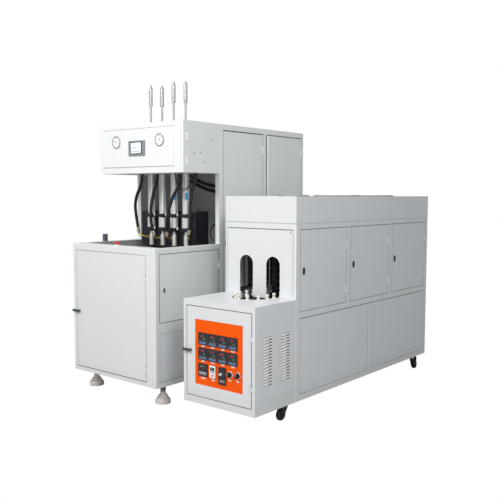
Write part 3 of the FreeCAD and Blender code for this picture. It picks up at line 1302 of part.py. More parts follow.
def build_drive():
    """The geared motor that turns the rear sprocket, hung under the conveyor's rear bearing."""
    y, top = CHAIN_REAR, CROSS_BAR_BOTTOM
    gearbox = box("gearbox", HEATER_MIDDLE - 60, y - 60, top - 110, 120, 120, 110)
    motor = rod("motor_can", HEATER_MIDDLE, y, top - 330, 55, 225)
    node("drive_motor", fuse("drive_parts", [gearbox, motor]))


# --------------------------------------------------------------------------- heater front
COLUMNS = 4
CELL_PITCH = 88
CELL_SIDE = 80


def build_control_door():
    opening = HEATER_FACE.box(
        "plate_window", s.plate_left + 2, -1, s.plate_bottom + 2, s.plate_width - 4, 10,
        s.plate_height - 4)
    hole = HEATER_FACE.stud(
        "control_latch_hole", s.control_door_left + 38, -2, s.control_latch_height,
        s.latch_stem_radius + s.running_play, s.door_depth + 4)
    node("control_door", control_door.door(holes=[opening, hole]))
    node("control_latch", latch("control_latch", HEATER_FACE, s.control_door_left + 38,
                                s.control_latch_height, 66))

    plate = HEATER_FACE.box("orange_plate", s.plate_left - 10, s.door_sheet, s.plate_bottom - 10,
                            s.plate_width + 20, s.plate_sheet, s.plate_height + 20)
    holes = []
    for name, u, v, wide, high in instrument_places():
        holes.append(HEATER_FACE.box(f"{name}_cutout", s.plate_left + u + 5, 0,
                                     s.plate_bottom + s.plate_height - v - high + 5,
                                     wide - 10, 10, high - 10))
    for name, u, v in knob_places():
        holes.append(HEATER_FACE.stud(f"{name}_hole", s.plate_left + u, 0,
                                      s.plate_bottom + s.plate_height - v, 4 + s.running_play, 10))
    node("control_plate", cut("orange_plate_cut", plate, holes))


def instrument_places():
    """Name, place from the plate's top left corner, and size of each fixed instrument."""
    places = []
    for row, down in enumerate((89, 191)):
        for column in range(COLUMNS):
            places.append((f"controller_{row + 1}_{column + 1}", 34 + column * CELL_PITCH, down,
                           CELL_SIDE, 82))
    places.append(("lamp_meter", 34, 299, 84, 86))
    places.append(("voltage_module", 138, 300, 54, 84))
    places.append(("speed_module", 216, 299, 65, 116))
    return places


def knob_places():
    return [("selector_knob_1", 314, 336), ("selector_knob_2", 381, 333)]


def build_instruments():
    cases = []
    for name, u, v, wide, high in instrument_places():
        left = s.plate_left + u
        bottom = s.plate_bottom + s.plate_height - v - high
        bezel = HEATER_FACE.box(f"{name}_bezel", left, s.door_sheet - 6, bottom, wide, 6, high)
        case = HEATER_FACE.box(f"{name}_case", left + 6, 1, bottom + 6, wide - 12, 46, high - 12)
        face = HEATER_FACE.box(f"{name}_face", left + 5, s.door_sheet - 8, bottom + 5, wide - 10,
                               3.5, high - 10)
        tools = [face]
        if name == "speed_module":
            tools.append(HEATER_FACE.stud("speed_hole", left + 24, -10, bottom + 70,
                                          4 + s.running_play, 30))
        cases.append(cut(name, fuse(f"{name}_parts", [bezel, case]), tools))
    node("panel_instruments", group("instrument_group", cases))


def build_knobs():
    for name, u, v in knob_places():
        height = s.plate_bottom + s.plate_height - v
        u = s.plate_left + u
        skirt = HEATER_FACE.stud(f"{name}_skirt", u, -4, height, 19, 5.5)
        grip = HEATER_FACE.stud(f"{name}_grip", u, -20, height, 12, 17)
        stem = HEATER_FACE.stud(f"{name}_stem", u, -2, height, 4, 14)
        node(name, fuse(f"{name}_piece", [skirt, grip, stem]))
    place = [item for item in instrument_places() if item[0] == "speed_module"][0]
    height = s.plate_bottom + s.plate_height - place[2] - place[4] + 70
    u = s.plate_left + place[1] + 24
    grip = HEATER_FACE.stud("speed_grip", u, -16, height, 8, 13)
    stem = HEATER_FACE.stud("speed_stem", u, -4, height, 4, 13)
    node("speed_knob", fuse("speed_piece", [grip, stem]))


def build_heater_doors():
    for number, door in enumerate(heater_doors, start=1):
        lock = lock_boss(f"heater_lock_{number}", HEATER_SIDE, door.left + 40, 1010)
        node(f"heater_door_{number}", door.door(extras=[lock]))


# --------------------------------------------------------------------------- casters
def caster_places():
    """Name, place and heading (degrees from -Y towards +X) of each caster's trail."""
    near, far = TUNNEL_FRONT - s.caster_near_margin, HEATER_REAR - s.caster_far_margin
    left, right = HEATER_LEFT + s.caster_inset, HEATER_RIGHT - s.caster_inset
    return [("front_left", left, near, 0), ("front_right", right, near, 0),
            ("rear_left", left, far, 50), ("rear_right", right, far, 50)]


def turned(thing, heading):
    """Turn a piece built about the swivel axis to its heading, about that upright axis."""
    thing.Placement = FreeCAD.Placement(V(), FreeCAD.Rotation(V(0, 0, 1), heading))
    return thing


def fork_cheek(name, x):
    """One side of a fork: as long as the bridge at the top, raked back from the axle's boss."""
    boss, trail = 14, s.caster_trail
    bottom = s.wheel_radius - boss
    cheek = doc.addObject("Part::Wedge", name)
    cheek.Placement = FreeCAD.Placement(V(), FreeCAD.Rotation(V(1, 0, 0), 90))
    return bind(cheek, x=x, z=bottom, Xmin=0, Xmax=s.fork_sheet, X2min=0, X2max=s.fork_sheet,
                Ymin=0, Ymax=s.heater_clearance - s.caster_plate - 8 - bottom,
                Zmin=trail - boss, Zmax=trail + boss, Z2min=-22, Z2max=trail + boss)


def build_casters():
    top = s.heater_clearance
    for name, x, y, heading in caster_places():
        half = s.wheel_width / 2 + 1
        trail, sheet = s.caster_trail, s.fork_sheet
        axle_height = s.wheel_radius
        crown = rod(f"{name}_crown", 0, 0, top - s.caster_plate - 7, 24, 6.7)
        king_pin = rod(f"{name}_king_pin", 0, 0, top - s.caster_plate - 7, s.king_pin_radius,
                       s.caster_plate + 5)
        bridge = box(f"{name}_bridge", -half - sheet, -trail - 14, top - s.caster_plate - 12,
                     2 * (half + sheet), trail + 36, 6)
        cheeks = [fork_cheek(f"{name}_cheek_{side}", cheek_x)
                  for side, cheek_x in (("left", -half - sheet), ("right", half))]
        axle = rod(f"{name}_axle", -half - sheet - 3, -trail, axle_height, s.axle_radius,
                   2 * (half + sheet + 3), "x")
        fork = fuse(f"{name}_fork_parts", [crown, king_pin, bridge, *cheeks, axle])
        node(f"caster_fork_{name}", bind(turned(fork, heading), x=x, y=y))

        radius, bore = s.wheel_radius, s.axle_radius + s.running_play
        edge = s.wheel_width / 2
        profile = [(bore, -edge), (radius - 14, -edge), (radius - 12, -edge + 3),
                   (radius - 4, -edge + 2), (radius, -edge + 7), (radius, edge - 7),
                   (radius - 4, edge - 2), (radius - 12, edge - 3), (radius - 14, edge),
                   (bore, edge)]
        wheel = revolved(f"{name}_wheel", profile)
        wheel.Placement = FreeCAD.Placement(V(), TURNS["x"])
        bind(wheel, x=0, y=-trail, z=axle_height)
        carried = group(f"{name}_wheel_group", [wheel])
        node(f"caster_wheel_{name}", bind(turned(carried, heading), x=x, y=y))


# --------------------------------------------------------------------------- build and write
def build_all():
    build_base_cabinet()
    build_rear_cabinet()
    build_head_box()
    build_well_tray()
    build_station_support()
    build_stretch_cylinders()
    build_seal_cylinders()
    build_blow_nozzles()
    build_stretch_rods()
    build_hoses()
    build_elbows()
    build_pilot_tubes()
    build_clamp()
    build_feet()
    build_sensor_and_stop()
    build_blower_doors()
    build_head_door()
    build_head_instruments()
    build_heater_cabinet()
    build_fixed_panels()
    build_tunnel_front()
    build_roof()
    build_chain()
    build_holders()
    build_conveyor_frame()
    build_lamps()
    build_drive()
    build_control_door()
    build_instruments()
    build_knobs()
    build_heater_doors()
    build_casters()
    node("hinge_frame_halves", group("hinge_group", hinge_halves))


def check_and_write():
    """Stop if anything failed, then write one STEP file for each node."""
    doc.recompute()
    for thing in doc.Objects:
        if "Invalid" in thing.State or "Error" in thing.State:
            raise RuntimeError(f"{thing.Name} failed: {thing.State}")
    os.makedirs("parts", exist_ok=True)
    for thing in nodes:
        shape = thing.Shape
        if shape.isNull() or not shape.isValid() or not shape.Solids:
            raise RuntimeError(f"{thing.Label} has no valid solid")
        shape.exportStep(os.path.join("parts", f"{thing.Label}.step"))
    print(f"{len(nodes)} nodes written")


build_all()
check_and_write()
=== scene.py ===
# %% [markdown]
# # A blow moulding machine and its preform heater
# The machine blows bottles from heated plastic preforms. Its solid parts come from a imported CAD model,
# and this lesson dresses them: paint, metal and rubber as node materials, and the small pieces that the
# CAD leaves out, such as dials, digits, hoses and screws. Everything is in metres, with +Z up and -Y
# towards the operator.

# %% Tools and the fixed frame
import math

import bmesh
import bpy
import numpy as np
from mathutils import Matrix, Vector


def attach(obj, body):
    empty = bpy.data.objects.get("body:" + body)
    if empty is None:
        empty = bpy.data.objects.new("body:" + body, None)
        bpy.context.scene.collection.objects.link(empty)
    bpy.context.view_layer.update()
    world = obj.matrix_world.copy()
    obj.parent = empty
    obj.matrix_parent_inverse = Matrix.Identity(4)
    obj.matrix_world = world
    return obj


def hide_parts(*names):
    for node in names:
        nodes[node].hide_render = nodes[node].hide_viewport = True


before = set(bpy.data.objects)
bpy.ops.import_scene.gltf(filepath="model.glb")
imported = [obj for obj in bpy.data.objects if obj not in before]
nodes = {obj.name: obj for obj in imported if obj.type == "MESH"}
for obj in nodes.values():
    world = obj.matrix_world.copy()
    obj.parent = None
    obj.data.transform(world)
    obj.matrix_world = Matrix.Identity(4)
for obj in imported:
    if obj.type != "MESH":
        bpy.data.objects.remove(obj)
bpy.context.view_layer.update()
MM = 0.001
print("CAD nodes:", len(nodes))

# %% [markdown]
# ## Light, camera and floor
# The object stands on plain white under three lamps: a large one in front and above, a smaller one from
# the right, and a weak one low down that reaches into the well. The world fills what they leave dark. The
# camera's place and lens were solved from the box edges of the cabinets. It looks along +Y, turned to the
# left by the heading, then down by the pitch, and then rolled.

# %% Camera
scene = bpy.context.scene
scene.view_settings.view_transform = "Standard"
SENSOR_WIDTH, FOCAL_PIXELS, PHOTO_WIDTH = 36.0, 702.25, 500
PLACE, HEADING, PITCH, ROLL = (3.6595, -4.568, 1.531), 39.47, 4.52, 0.18
lens = bpy.data.cameras.new("studio_camera")
lens.sensor_width = SENSOR_WIDTH
lens.lens = SENSOR_WIDTH * FOCAL_PIXELS / PHOTO_WIDTH
camera = bpy.data.objects.new("studio_camera", lens)
camera.matrix_world = (Matrix.Translation(PLACE) @ Matrix.Rotation(math.radians(HEADING), 4, "Z")
                       @ Matrix.Rotation(math.radians(90 - PITCH), 4, "X")
                       @ Matrix.Rotation(math.radians(ROLL), 4, "Z"))
scene.collection.objects.link(camera)
scene.camera = camera


# %% Lamps and world
def area_lamp(name, place, target, size, power, colour=(1, 1, 1)):
    data = bpy.data.lights.new(name, "AREA")
    data.shape = "DISK"
    data.size = size
    data.energy = power
    data.color = colour
    lamp = bpy.data.objects.new(name, data)
    lamp.location = place
    lamp.rotation_euler = (Vector(target) - Vector(place)).to_track_quat("-Z", "Y").to_euler()
    scene.collection.objects.link(lamp)


area_lamp("front_lamp", (-0.6, -4.8, 4.4), (-0.3, -0.9, 1.7), 2.6, 180, (1, 0.985, 0.965))
area_lamp("right_lamp", (3.6, -2.6, 3.9), (0.0, -0.4, 1.8), 1.6, 70)
area_lamp("low_lamp", (2.1, -3.3, 1.35), (-0.35, -0.5, 1.4), 0.8, 8)


def add_node(tree, kind, settings, values):
    """A shader node of that kind: its settings first, then the values or links of its sockets."""
    node = tree.nodes.new("ShaderNode" + kind)
    for key, value in settings.items():
        setattr(node, key, value)
    for key, value in values.items():
        if isinstance(value, bpy.types.NodeSocket):
            tree.links.new(value, node.inputs[key])
        else:
            node.inputs[key].default_value = value
    return node


# The world fills softly, and is plain white for the camera, also through glass.
WORLD_FILL, COOL = 0.44, (0.955, 0.985, 1.0, 1)
scene.world = bpy.data.worlds.new("white_studio")
scene.world.use_nodes = True
tree = scene.world.node_tree
tree.nodes.clear()
rays = add_node(tree, "LightPath", {}, {}).outputs
either = add_node(tree, "Math", {"operation": "MAXIMUM"},
                  {0: rays["Is Camera Ray"], 1: rays["Is Transmission Ray"]})
soft = add_node(tree, "Background", {}, {"Color": COOL, "Strength": WORLD_FILL})
white = add_node(tree, "Background", {}, {"Color": (1, 1, 1, 1), "Strength": 1.0})
mix = add_node(tree, "MixShader", {}, {0: either.outputs[0], 1: soft.outputs[0], 2: white.outputs[0]})
add_node(tree, "OutputWorld", {}, {"Surface": mix.outputs[0]})

# %% [markdown]
# ## Node materials as sums
# A finish is easier to read as a formula than as a web of nodes. `Wire` stands for one output socket,
# and writing `wire * 2 + 1` adds the Math nodes for it. `Finish` is the bench on which one material is
# made; its `add` method makes any other kind of node.


# %% Wires and finishes
class Wire:
    """One output of a node in a finish; sums on it become Math nodes."""

    def __init__(self, finish, socket):
        self.finish = finish
        self.socket = socket


def sum_of(operation, swapped=False):
    """A Python operator that adds one Math node, with its two sides in the right order."""
    def apply(self, other):
        first, second = (other, self) if swapped else (self, other)
        return self.finish.add("Math", {"operation": operation}, {0: first, 1: second})
    return apply


for sign, operation in (("add", "ADD"), ("sub", "SUBTRACT"), ("mul", "MULTIPLY"),
                        ("truediv", "DIVIDE")):
    setattr(Wire, f"__{sign}__", sum_of(operation))
    setattr(Wire, f"__r{sign}__", sum_of(operation, swapped=True))
Wire.__gt__ = sum_of("GREATER_THAN")
Wire.__lt__ = sum_of("LESS_THAN")


class Finish:
    """One material: its Principled shader, the object's coordinates and the nodes between them."""

    def __init__(self, name, colour, roughness=0.5, **constants):
        self.material = bpy.data.materials.new(name)
        self.material.use_nodes = True
        self.tree = self.material.node_tree
        self.shader = self.tree.nodes["Principled BSDF"]
        self.shader.inputs["Base Color"].default_value = (*colour[:3], 1.0)
        self.shader.inputs["Roughness"].default_value = roughness
        for socket, value in constants.items():
            self.shader.inputs[socket.replace("_", " ")].default_value = value
        self.place = self.add("TexCoord", {}, {}, "Object")

    def add(self, kind, settings, values, output=0):
        """One output of a new node, whose sockets take wires as well as values."""
        plain = {key: value.socket if isinstance(value, Wire) else value
                 for key, value in values.items()}
        return Wire(self, add_node(self.tree, kind, settings, plain).outputs[output])

    def feed(self, socket, value):
        """Link a wire to a socket of the shader."""
        self.tree.links.new(value.socket, self.shader.inputs[socket])
        return self

    def along(self, axis):
        """The object's X, Y or Z coordinate, in metres."""
        return self.add("SeparateXYZ", {}, {0: self.place}, axis)

    def noise(self, scale, detail=2.0, stretch=(1, 1, 1)):
        """Cloudy noise with so many cells to the metre, drawn out along an axis by stretch."""
        drawn = self.add("Mapping", {}, {"Vector": self.place, "Scale": stretch})
        return self.add("TexNoise", {}, {"Vector": drawn, "Scale": scale, "Detail": detail})

    def blend(self, share, first, second):
        """first where share is 0, second where it is 1, for colours."""
        first = first if isinstance(first, Wire) else (*first[:3], 1.0)
        second = second if isinstance(second, Wire) else (*second[:3], 1.0)
        return self.add("Mix", {"data_type": "RGBA"}, {0: share, 6: first, 7: second}, 2)

    def between(self, axis, low, high):
        """1 where the coordinate lies between two values in metres, and 0 elsewhere."""
        where = self.along(axis)
        return (where > low) * (where < high)

    def maths(self, operation, first, second=0.0):
        """A Math node that has no Python operator of its own."""
        return self.add("Math", {"operation": operation}, {0: first, 1: second})

    def outline(self, axis, plane, span, rise, half, depth):
        """1 by a rectangle's edges, on a face across the X or Y axis, and 0 elsewhere. In millimetres:
        |max(|a - a0| - A, |z - z0| - Z)| < half, where A and Z are half the rectangle's sides."""
        def past(letter, limits):
            middle, reach = (limits[0] + limits[1]) / 2, (limits[1] - limits[0]) / 2
            return self.maths("ABSOLUTE", self.along(letter) - middle * MM) - reach * MM
        edge = self.maths("MAXIMUM", past("Y" if axis == "X" else "X", span), past("Z", rise))
        proud = (self.along("X") - plane * MM) if axis == "X" else (plane * MM - self.along("Y"))
        close = (proud < MOST_PROUD * MM) * (proud > -depth * MM)
        return (self.maths("ABSOLUTE", edge) < half * MM) * close

    def bump(self, height, strength, distance):
        relief = self.add("Bump", {}, {"Height": height, "Strength": strength, "Distance": distance})
        return self.feed("Normal", relief)


def tint(colour, factor):
    return tuple(min(1.0, channel * factor) for channel in colour[:3])


def seen(red, green, blue):
    """A colour as it is read off a screen, 0 to 255, as linear light."""
    share = np.array([red, green, blue]) / 255
    return tuple(np.where(share <= 0.04045, share / 12.92, ((share + 0.055) / 1.055) ** 2.4))


# %% [markdown]
# ## Powder coat
# The cabinets are sheet steel under a pale grey powder coat. Powder melts into a skin with a fine
# orange peel, so the bump is a noise of about a millimetre, very low. Broad clouds shift the tone by a
# few percent, because sheets are never perfectly flat, and a little dust darkens the paint by the floor.
#
# The gaps round the doors are too narrow to show dark from the camera's distance, so a painted shadow line
# along their edges is mixed into the colour. A line is a rectangle: its span across the face, its rise up Z,
# half its thickness and its share, with all lengths in millimetres. A negative share paints a highlight on a
# light edge. The louvres get painted highlights on their hoods and painted shadows in their mouths in the
# same way, and the front base gets a painted shade, darker as in the picture, where the light is weaker low
# down.


# %% Painted sheet
BLOWER_SIDE, BASE_FRONT, HEAD_FRONT = 27.5, -1200, -920
HEATER_SIDE, CONTROL_FRONT, TUNNEL_FRONT = 912.5, -1180, -745
HEATER_DOOR_PITCH = 648
MOST_PROUD, LINE_DEPTH, LIGHT_DEPTH = 0.8, 30, 2
# Painted shadow colour for the door gaps, and white for the painted highlights.
GAP_PAINTED_SHADOW = seen(44, 50, 56)
PAINTED_HIGHLIGHT_WHITE = (1, 1, 1)


def lines_on(axis, plane, *rows):
    """The rows (span, rise, half, share) as lines on the face at plane across an axis; each line is a
    painted shadow, and a painted highlight where its share is negative.
    """
    return [(axis, plane, *row) for row in rows]


# Painted shadow lines round the blower's doors and panels, and down the dark gap by the second rear door.
BLOWER_PAINTED_SHADOW_LINES = [
    *lines_on("X", BLOWER_SIDE, ((-1165, -542), (614, 1106), 2.6, 0.8), ((-484, 5), (199, 2021), 2.2, 0.6),
              ((-482, 3), (2022, 2022), 4.2, 0.95), ((59, 549), (199, 2021), 2.2, 0.6),
              ((61, 547), (2022, 2022), 3.6, 0.85), ((54, 54), (205, 2016), 5.0, 1.0),
              ((-1165, -541), (184, 536), 2.0, 0.4)),
    *lines_on("Y", BASE_FRONT, ((-873, -75), (179, 1096), 2.0, 0.5), ((-873, -75), (179, 179), 3.0, 0.8)),
    *lines_on("Y", HEAD_FRONT, ((-882, -72), (2031, 2031), 2.2, 0.5), ((-882, -72), (1739, 1739), 2.8, 0.65),
              ((-70, -70), (1741, 2029), 1.8, 0.35), ((4, 4), (1695, 2065), 2.2, 0.35))]
# Painted shadow lines round the heater's doors and panels; the last row is a painted highlight up the
# tunnel's front edge.
HEATER_SHADOW_AND_HIGHLIGHT_LINES = [
    *lines_on("Y", CONTROL_FRONT, ((313, 886), (165, 781), 2.6, 0.85)),
    *lines_on("Y", TUNNEL_FRONT, ((298, 890), (808, 1292), 1.9, 0.6), ((300, 888), (1292, 1292), 2.6, 0.7),
              ((290, 905), (1336, 1336), 2.0, 0.6)),
    *lines_on("X", HEATER_SIDE, *(((-694 + start, -105 + start), (734, 1294), 2.0, 0.6)
                                  for start in (0, HEATER_DOOR_PITCH, 2 * HEATER_DOOR_PITCH)),
              ((-692, 220), (160, 686), 1.8, 0.45), ((300, 1177), (160, 686), 1.8, 0.45),
              ((-692, 1177), (687, 687), 2.8, 0.7), ((-694, 1190), (1295, 1295), 2.4, 0.5),
              ((-740, 1240), (1334, 1334), 1.8, 0.4), ((-744, -744), (120, 1330), 2.4, -0.9))]
LOUVRE_COUNT, LOUVRE_BOTTOM, LOUVRE_TOP, LOUVRE_MARGIN = 16, 0.290, 0.630, 0.012
LOUVRE_PITCH = (LOUVRE_TOP - LOUVRE_BOTTOM - 2 * LOUVRE_MARGIN) / LOUVRE_COUNT
BASE_TOP, BASE_BACK, DUST_TOP = 1.14, -0.520, 0.22


def powder_coat(name, colour, lines, base_top=0.0, louvres=False):
    """Clouded paint with painted shadow and highlight lines; the front base under base_top gets a painted
    shade, and louvres get painted highlights on their hoods and painted shadows in their mouths.
    """
    gloss = 0.42
    paint = Finish(name, colour, gloss, Coat_Roughness=0.25)
    clouds = paint.noise(1.6, 3.0)
    smears = paint.noise(11.0, 4.0, (1, 1, 0.35))
    low = paint.along("Z") < DUST_TOP
    pale = paint.blend(clouds * 0.6 + smears * 0.4, tint(colour, 0.95), tint(colour, 1.04))
    shaded = paint.blend(low * smears * 0.25, pale, tint(colour, 0.72))
    # Painted shade: the front base, under base_top and ahead of BASE_BACK, is darkened where the light is
    # weaker low down.
    below = (paint.along("Z") < base_top) * (paint.along("Y") < BASE_BACK)
    shaded = paint.blend(below * 0.4, shaded, tint(colour, 0.78))
    # Each line mixes in a painted shadow, and a painted highlight where its share is negative.
    for *rectangle, share in lines:
        edge = paint.outline(*rectangle, LINE_DEPTH if share > 0 else LIGHT_DEPTH)
        shaded = paint.blend(edge * abs(share), shaded, GAP_PAINTED_SHADOW if share > 0 else PAINTED_HIGHLIGHT_WHITE)
    if louvres:
        shaded = louvre_shade(paint, shaded)
    paint.feed("Base Color", shaded)
    paint.feed("Roughness", gloss - 0.07 + smears * 0.16)
    return paint.bump(paint.noise(750.0, 1.0), 0.05, 0.0006)


def louvre_shade(paint, colour):
    """Painted highlights on the hoods over painted shadows in their mouths: a saw wave up Z, at the louvres'
    pitch, within two columns on Y.
    """
    columns = paint.between("Y", -1.098, -1.004) + paint.between("Y", -0.904, -0.810)
    rows = paint.between("Z", 0.297, 0.616) * (paint.along("X") > 0.9)
    wave = paint.maths("FRACT", (paint.along("Z") - LOUVRE_BOTTOM - LOUVRE_MARGIN) / LOUVRE_PITCH)
    # The mouths get a painted shadow, and the hoods a painted highlight.
    mouth = (wave > 0.72) * columns * rows
    hood = (wave < 0.62) * columns * rows
    return paint.blend(mouth * 0.75, paint.blend(hood * 0.85, colour, PAINTED_HIGHLIGHT_WHITE), GAP_PAINTED_SHADOW)


def smooth_paint(name, colour, gloss, wear=0.1):
    """Sprayed paint on castings and brackets: even, with worn patches where hands and tools reach."""
    paint = Finish(name, colour, gloss)
    patches = paint.noise(38.0, 5.0)
    paint.feed("Base Color", paint.blend(patches * wear, colour, seen(120, 120, 118)))
    paint.feed("Roughness", gloss - 0.08 + patches * 0.2)
    return paint.bump(paint.noise(420.0, 2.0), 0.08, 0.0004)


pale_coat = powder_coat("pale_grey_powder_coat", seen(233, 236, 236), BLOWER_PAINTED_SHADOW_LINES, BASE_TOP)
heater_coat = powder_coat("heater_grey_powder_coat", seen(222, 224, 226), HEATER_SHADOW_AND_HIGHLIGHT_LINES, louvres=True)
black_coat = smooth_paint("black_bracket_paint", seen(25, 28, 37), 0.38, 0.05)
well_coat = smooth_paint("grey_well_paint", seen(176, 180, 180), 0.5, 0.25)
motor_coat = smooth_paint("motor_grey_paint", seen(96, 102, 108), 0.45)

# %% [markdown]
# ## Bare metals
# A drawn tube shows fine streaks along its length, and a plated fitting is cloudy. Each is a noise, drawn
# out in one direction or not at all, that feeds colour and roughness together with a broad stain.


# %% Metals
def drawn_metal(name, colour, roughness, streak=(1, 1, 0.015), depth=0.12, grain=260.0, metallic=1.0):
    metal = Finish(name, colour, roughness, Metallic=metallic)
    lines = metal.noise(grain, 3.0, streak)
    stains = metal.noise(24.0, 3.0)
    shade = lines * 0.55 + stains * 0.45
    metal.feed("Base Color", metal.blend(shade, tint(colour, 0.8), tint(colour, 1.12)))
    metal.feed("Roughness", roughness - depth / 2 + shade * depth)
    return metal.bump(lines, 0.04, 0.0003)


barrel_metal = drawn_metal("anodised_barrel", seen(240, 242, 239), 0.30, metallic=0.4)
rod_chrome = drawn_metal("chromed_rod", seen(196, 198, 199), 0.36, depth=0.04, grain=40.0,
                         metallic=0.95)
bright_steel = drawn_metal("bright_steel", seen(205, 207, 208), 0.28, (1, 1, 0.2))
zinc_plate = drawn_metal("white_zinc_plate", seen(244, 246, 248), 0.36, (1, 1, 1), grain=70.0,
                         metallic=0.3)
dark_chrome = drawn_metal("dark_latch_chrome", seen(112, 116, 120), 0.22, (1, 1, 1), grain=60.0)
yellow_zinc = drawn_metal("yellow_zinc_plate", seen(196, 174, 104), 0.34, (1, 1, 1), grain=60.0)
copper_nut = drawn_metal("copper_fitting", seen(214, 138, 92), 0.32, (1, 1, 1), grain=60.0)
crimp_metal = drawn_metal("cream_crimp_sleeve", seen(224, 218, 186), 0.42, (1, 1, 1), grain=60.0)
# Painted shade: the reflectors right of X 0.45, seen in the dark through the right arch, get a dark copy of
# the reflector colour.
NEAR_REFLECTOR, REFLECTOR_PAINTED_SHADE = seen(118, 124, 124), seen(30, 34, 44)
reflector_metal = drawn_metal("polished_reflector", NEAR_REFLECTOR, 0.34, (0.02, 0.02, 1), metallic=0.6)
right_lane_painted_shade = reflector_metal.along("X") > 0.45
reflector_metal.feed("Base Color", reflector_metal.blend(right_lane_painted_shade, NEAR_REFLECTOR, REFLECTOR_PAINTED_SHADE))

# %% [markdown]
# ## Rubber, plastic and enamel
# Moulded plastic has a fine spark-eroded grain and rubber a duller, coarser one. The orange plate is
# smooth baked enamel, so it only gets a faint ripple and a low gloss.


# %% Moulded finishes
def moulded(name, colour, roughness, grain=900.0, relief=0.06, spread=0.12, **constants):
    plastic = Finish(name, colour, roughness, **constants)
    fine = plastic.noise(grain, 2.0)
    handling = plastic.noise(30.0, 4.0)
    plastic.feed("Base Color", plastic.blend(handling, tint(colour, 0.88), tint(colour, 1.1)))
    plastic.feed("Roughness", roughness - spread / 2 + handling * spread)
    return plastic.bump(fine, relief, 0.0003)


def lit(name, colour, glow, strength, roughness, lowest, cells):
    """A face that shines a little by itself, with a roughness that clouds from lowest upwards."""
    light = Finish(name, colour, roughness, Emission_Color=(*glow, 1.0), Emission_Strength=strength)
    return light.feed("Roughness", light.noise(cells) * 0.1 + lowest)


hose_rubber = moulded("black_hose_rubber", seen(34, 35, 38), 0.45, 500.0, 0.25)
cable_sheath = moulded("black_cable_sheath", seen(28, 28, 30), 0.4)
tyre_rubber = moulded("black_tyre_rubber", seen(36, 36, 37), 0.55, 300.0, 0.2)
black_plastic = moulded("black_instrument_plastic", seen(40, 42, 46), 0.42)
frame_black = moulded("dark_conveyor_paint", seen(58, 61, 66), 0.5, 300.0, 0.1)
holder_nylon = moulded("cream_holder_nylon", seen(230, 228, 220), 0.38)
tube_nylon = moulded("clear_air_tube", seen(206, 210, 212), 0.25, Coat_Weight=0.3)
white_plastic = moulded("white_fitting_plastic", seen(236, 237, 236), 0.35)
stop_plastic = moulded("red_stop_plastic", seen(226, 18, 22), 0.28)
screen_plastic = moulded("grey_screen_plastic", seen(134, 140, 148), 0.4)
sensor_plastic = moulded("grey_sensor_plastic", seen(92, 97, 106), 0.45)
pad_nylon = moulded("cream_pad_nylon", seen(222, 214, 208), 0.5, 260.0, 0.15)
quartz = moulded("frosted_quartz", seen(186, 190, 192), 0.22, Coat_Weight=0.4)
orange_enamel = moulded("orange_enamel", seen(255, 90, 0), 0.4, 120.0, 0.02, 0.05,
                        Specular_IOR_Level=0.15)
print("finishes:", len(bpy.data.materials))


# %% Dress the CAD nodes
def dress(finish, *names):
    """Give CAD nodes a finish in the material slots that they came with."""
    for name in names:
        for place in nodes[name].material_slots:
            place.material = finish.material


casters = ("front_left", "front_right", "rear_left", "rear_right")
dress(pale_coat, "blower_base_cabinet", "blower_rear_cabinet", "blower_head_box",
      "base_front_door", "base_side_door", "head_front_door", "rear_door_1", "rear_door_2")
dress(heater_coat, "fixed_side_panels", "heater_cabinet", "roof_hood", "tunnel_front_panel",
      "control_door", *(f"heater_door_{number}" for number in range(1, 4)))
dress(well_coat, "well_tray")
dress(black_coat, "station_support", "clamp_frame", "front_platen", "clamp_crosshead",
      *(f"caster_fork_{corner}" for corner in casters))
dress(barrel_metal, "stretch_cylinders", "seal_cylinders", "blow_nozzles", "clamp_cylinder")
dress(rod_chrome, "tie_bars", *(f"stretch_rod_{number}" for number in range(1, 5)))
dress(zinc_plate, "hinge_frame_halves")
dress(dark_chrome, "base_front_latch", "control_latch")
dress(sensor_plastic, "sensor_block")
dress(black_plastic, "panel_instruments", "selector_knob_1", "selector_knob_2")
dress(white_plastic, "speed_knob")
dress(tyre_rubber, *(f"caster_wheel_{corner}" for corner in casters))
dress(reflector_metal, "reflector_banks")
dress(frame_black, "conveyor_frame", "preform_chain")
dress(holder_nylon, "preform_holders")
dress(motor_coat, "drive_motor")
dress(stop_plastic, "emergency_stop")
dress(orange_enamel, "control_plate")
dress(screen_plastic, "touch_screen")
dress(bright_steel, "pressure_gauges")
dress(quartz, "infrared_lamps")
dress(pad_nylon, "levelling_feet")

# %% [markdown]
# ## Hoses first
# Four black hoses bring the blowing air down to the blow heads, two thick ones sag inside the rear
# cabinet, thin white tubes feed the caps, and two thin black ones are a loop and a sensor's cable. A hose
# is a fixed length of something bendy, so each is one smooth NURBS line near a few control points, and
# the curve's own bevel gives it thickness. Its route is the one of the CAD solid that it stands for.


# %% A free hose
def hose(name, route, diameter, finish, stands_for):
    """A round tube along a smooth NURBS line whose control points are given in millimetres."""
    curve = bpy.data.curves.new(name, "CURVE")
    curve.dimensions = "3D"
    spline = curve.splines.new("NURBS")
    spline.points.add(len(route) - 1)
    for point, place in zip(spline.points, route):
        point.co = (*(value * MM for value in place), 1.0)
    spline.order_u = 3
    spline.use_endpoint_u = True
    spline.resolution_u = 10
    curve.bevel_depth = diameter / 2
    curve.bevel_resolution = 5
    curve.use_fill_caps = True
    curve.materials.append(finish.material)
    piece = bpy.data.objects.new(name, curve)
    scene.collection.objects.link(piece)
    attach(piece, "machine")
    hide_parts(stands_for)


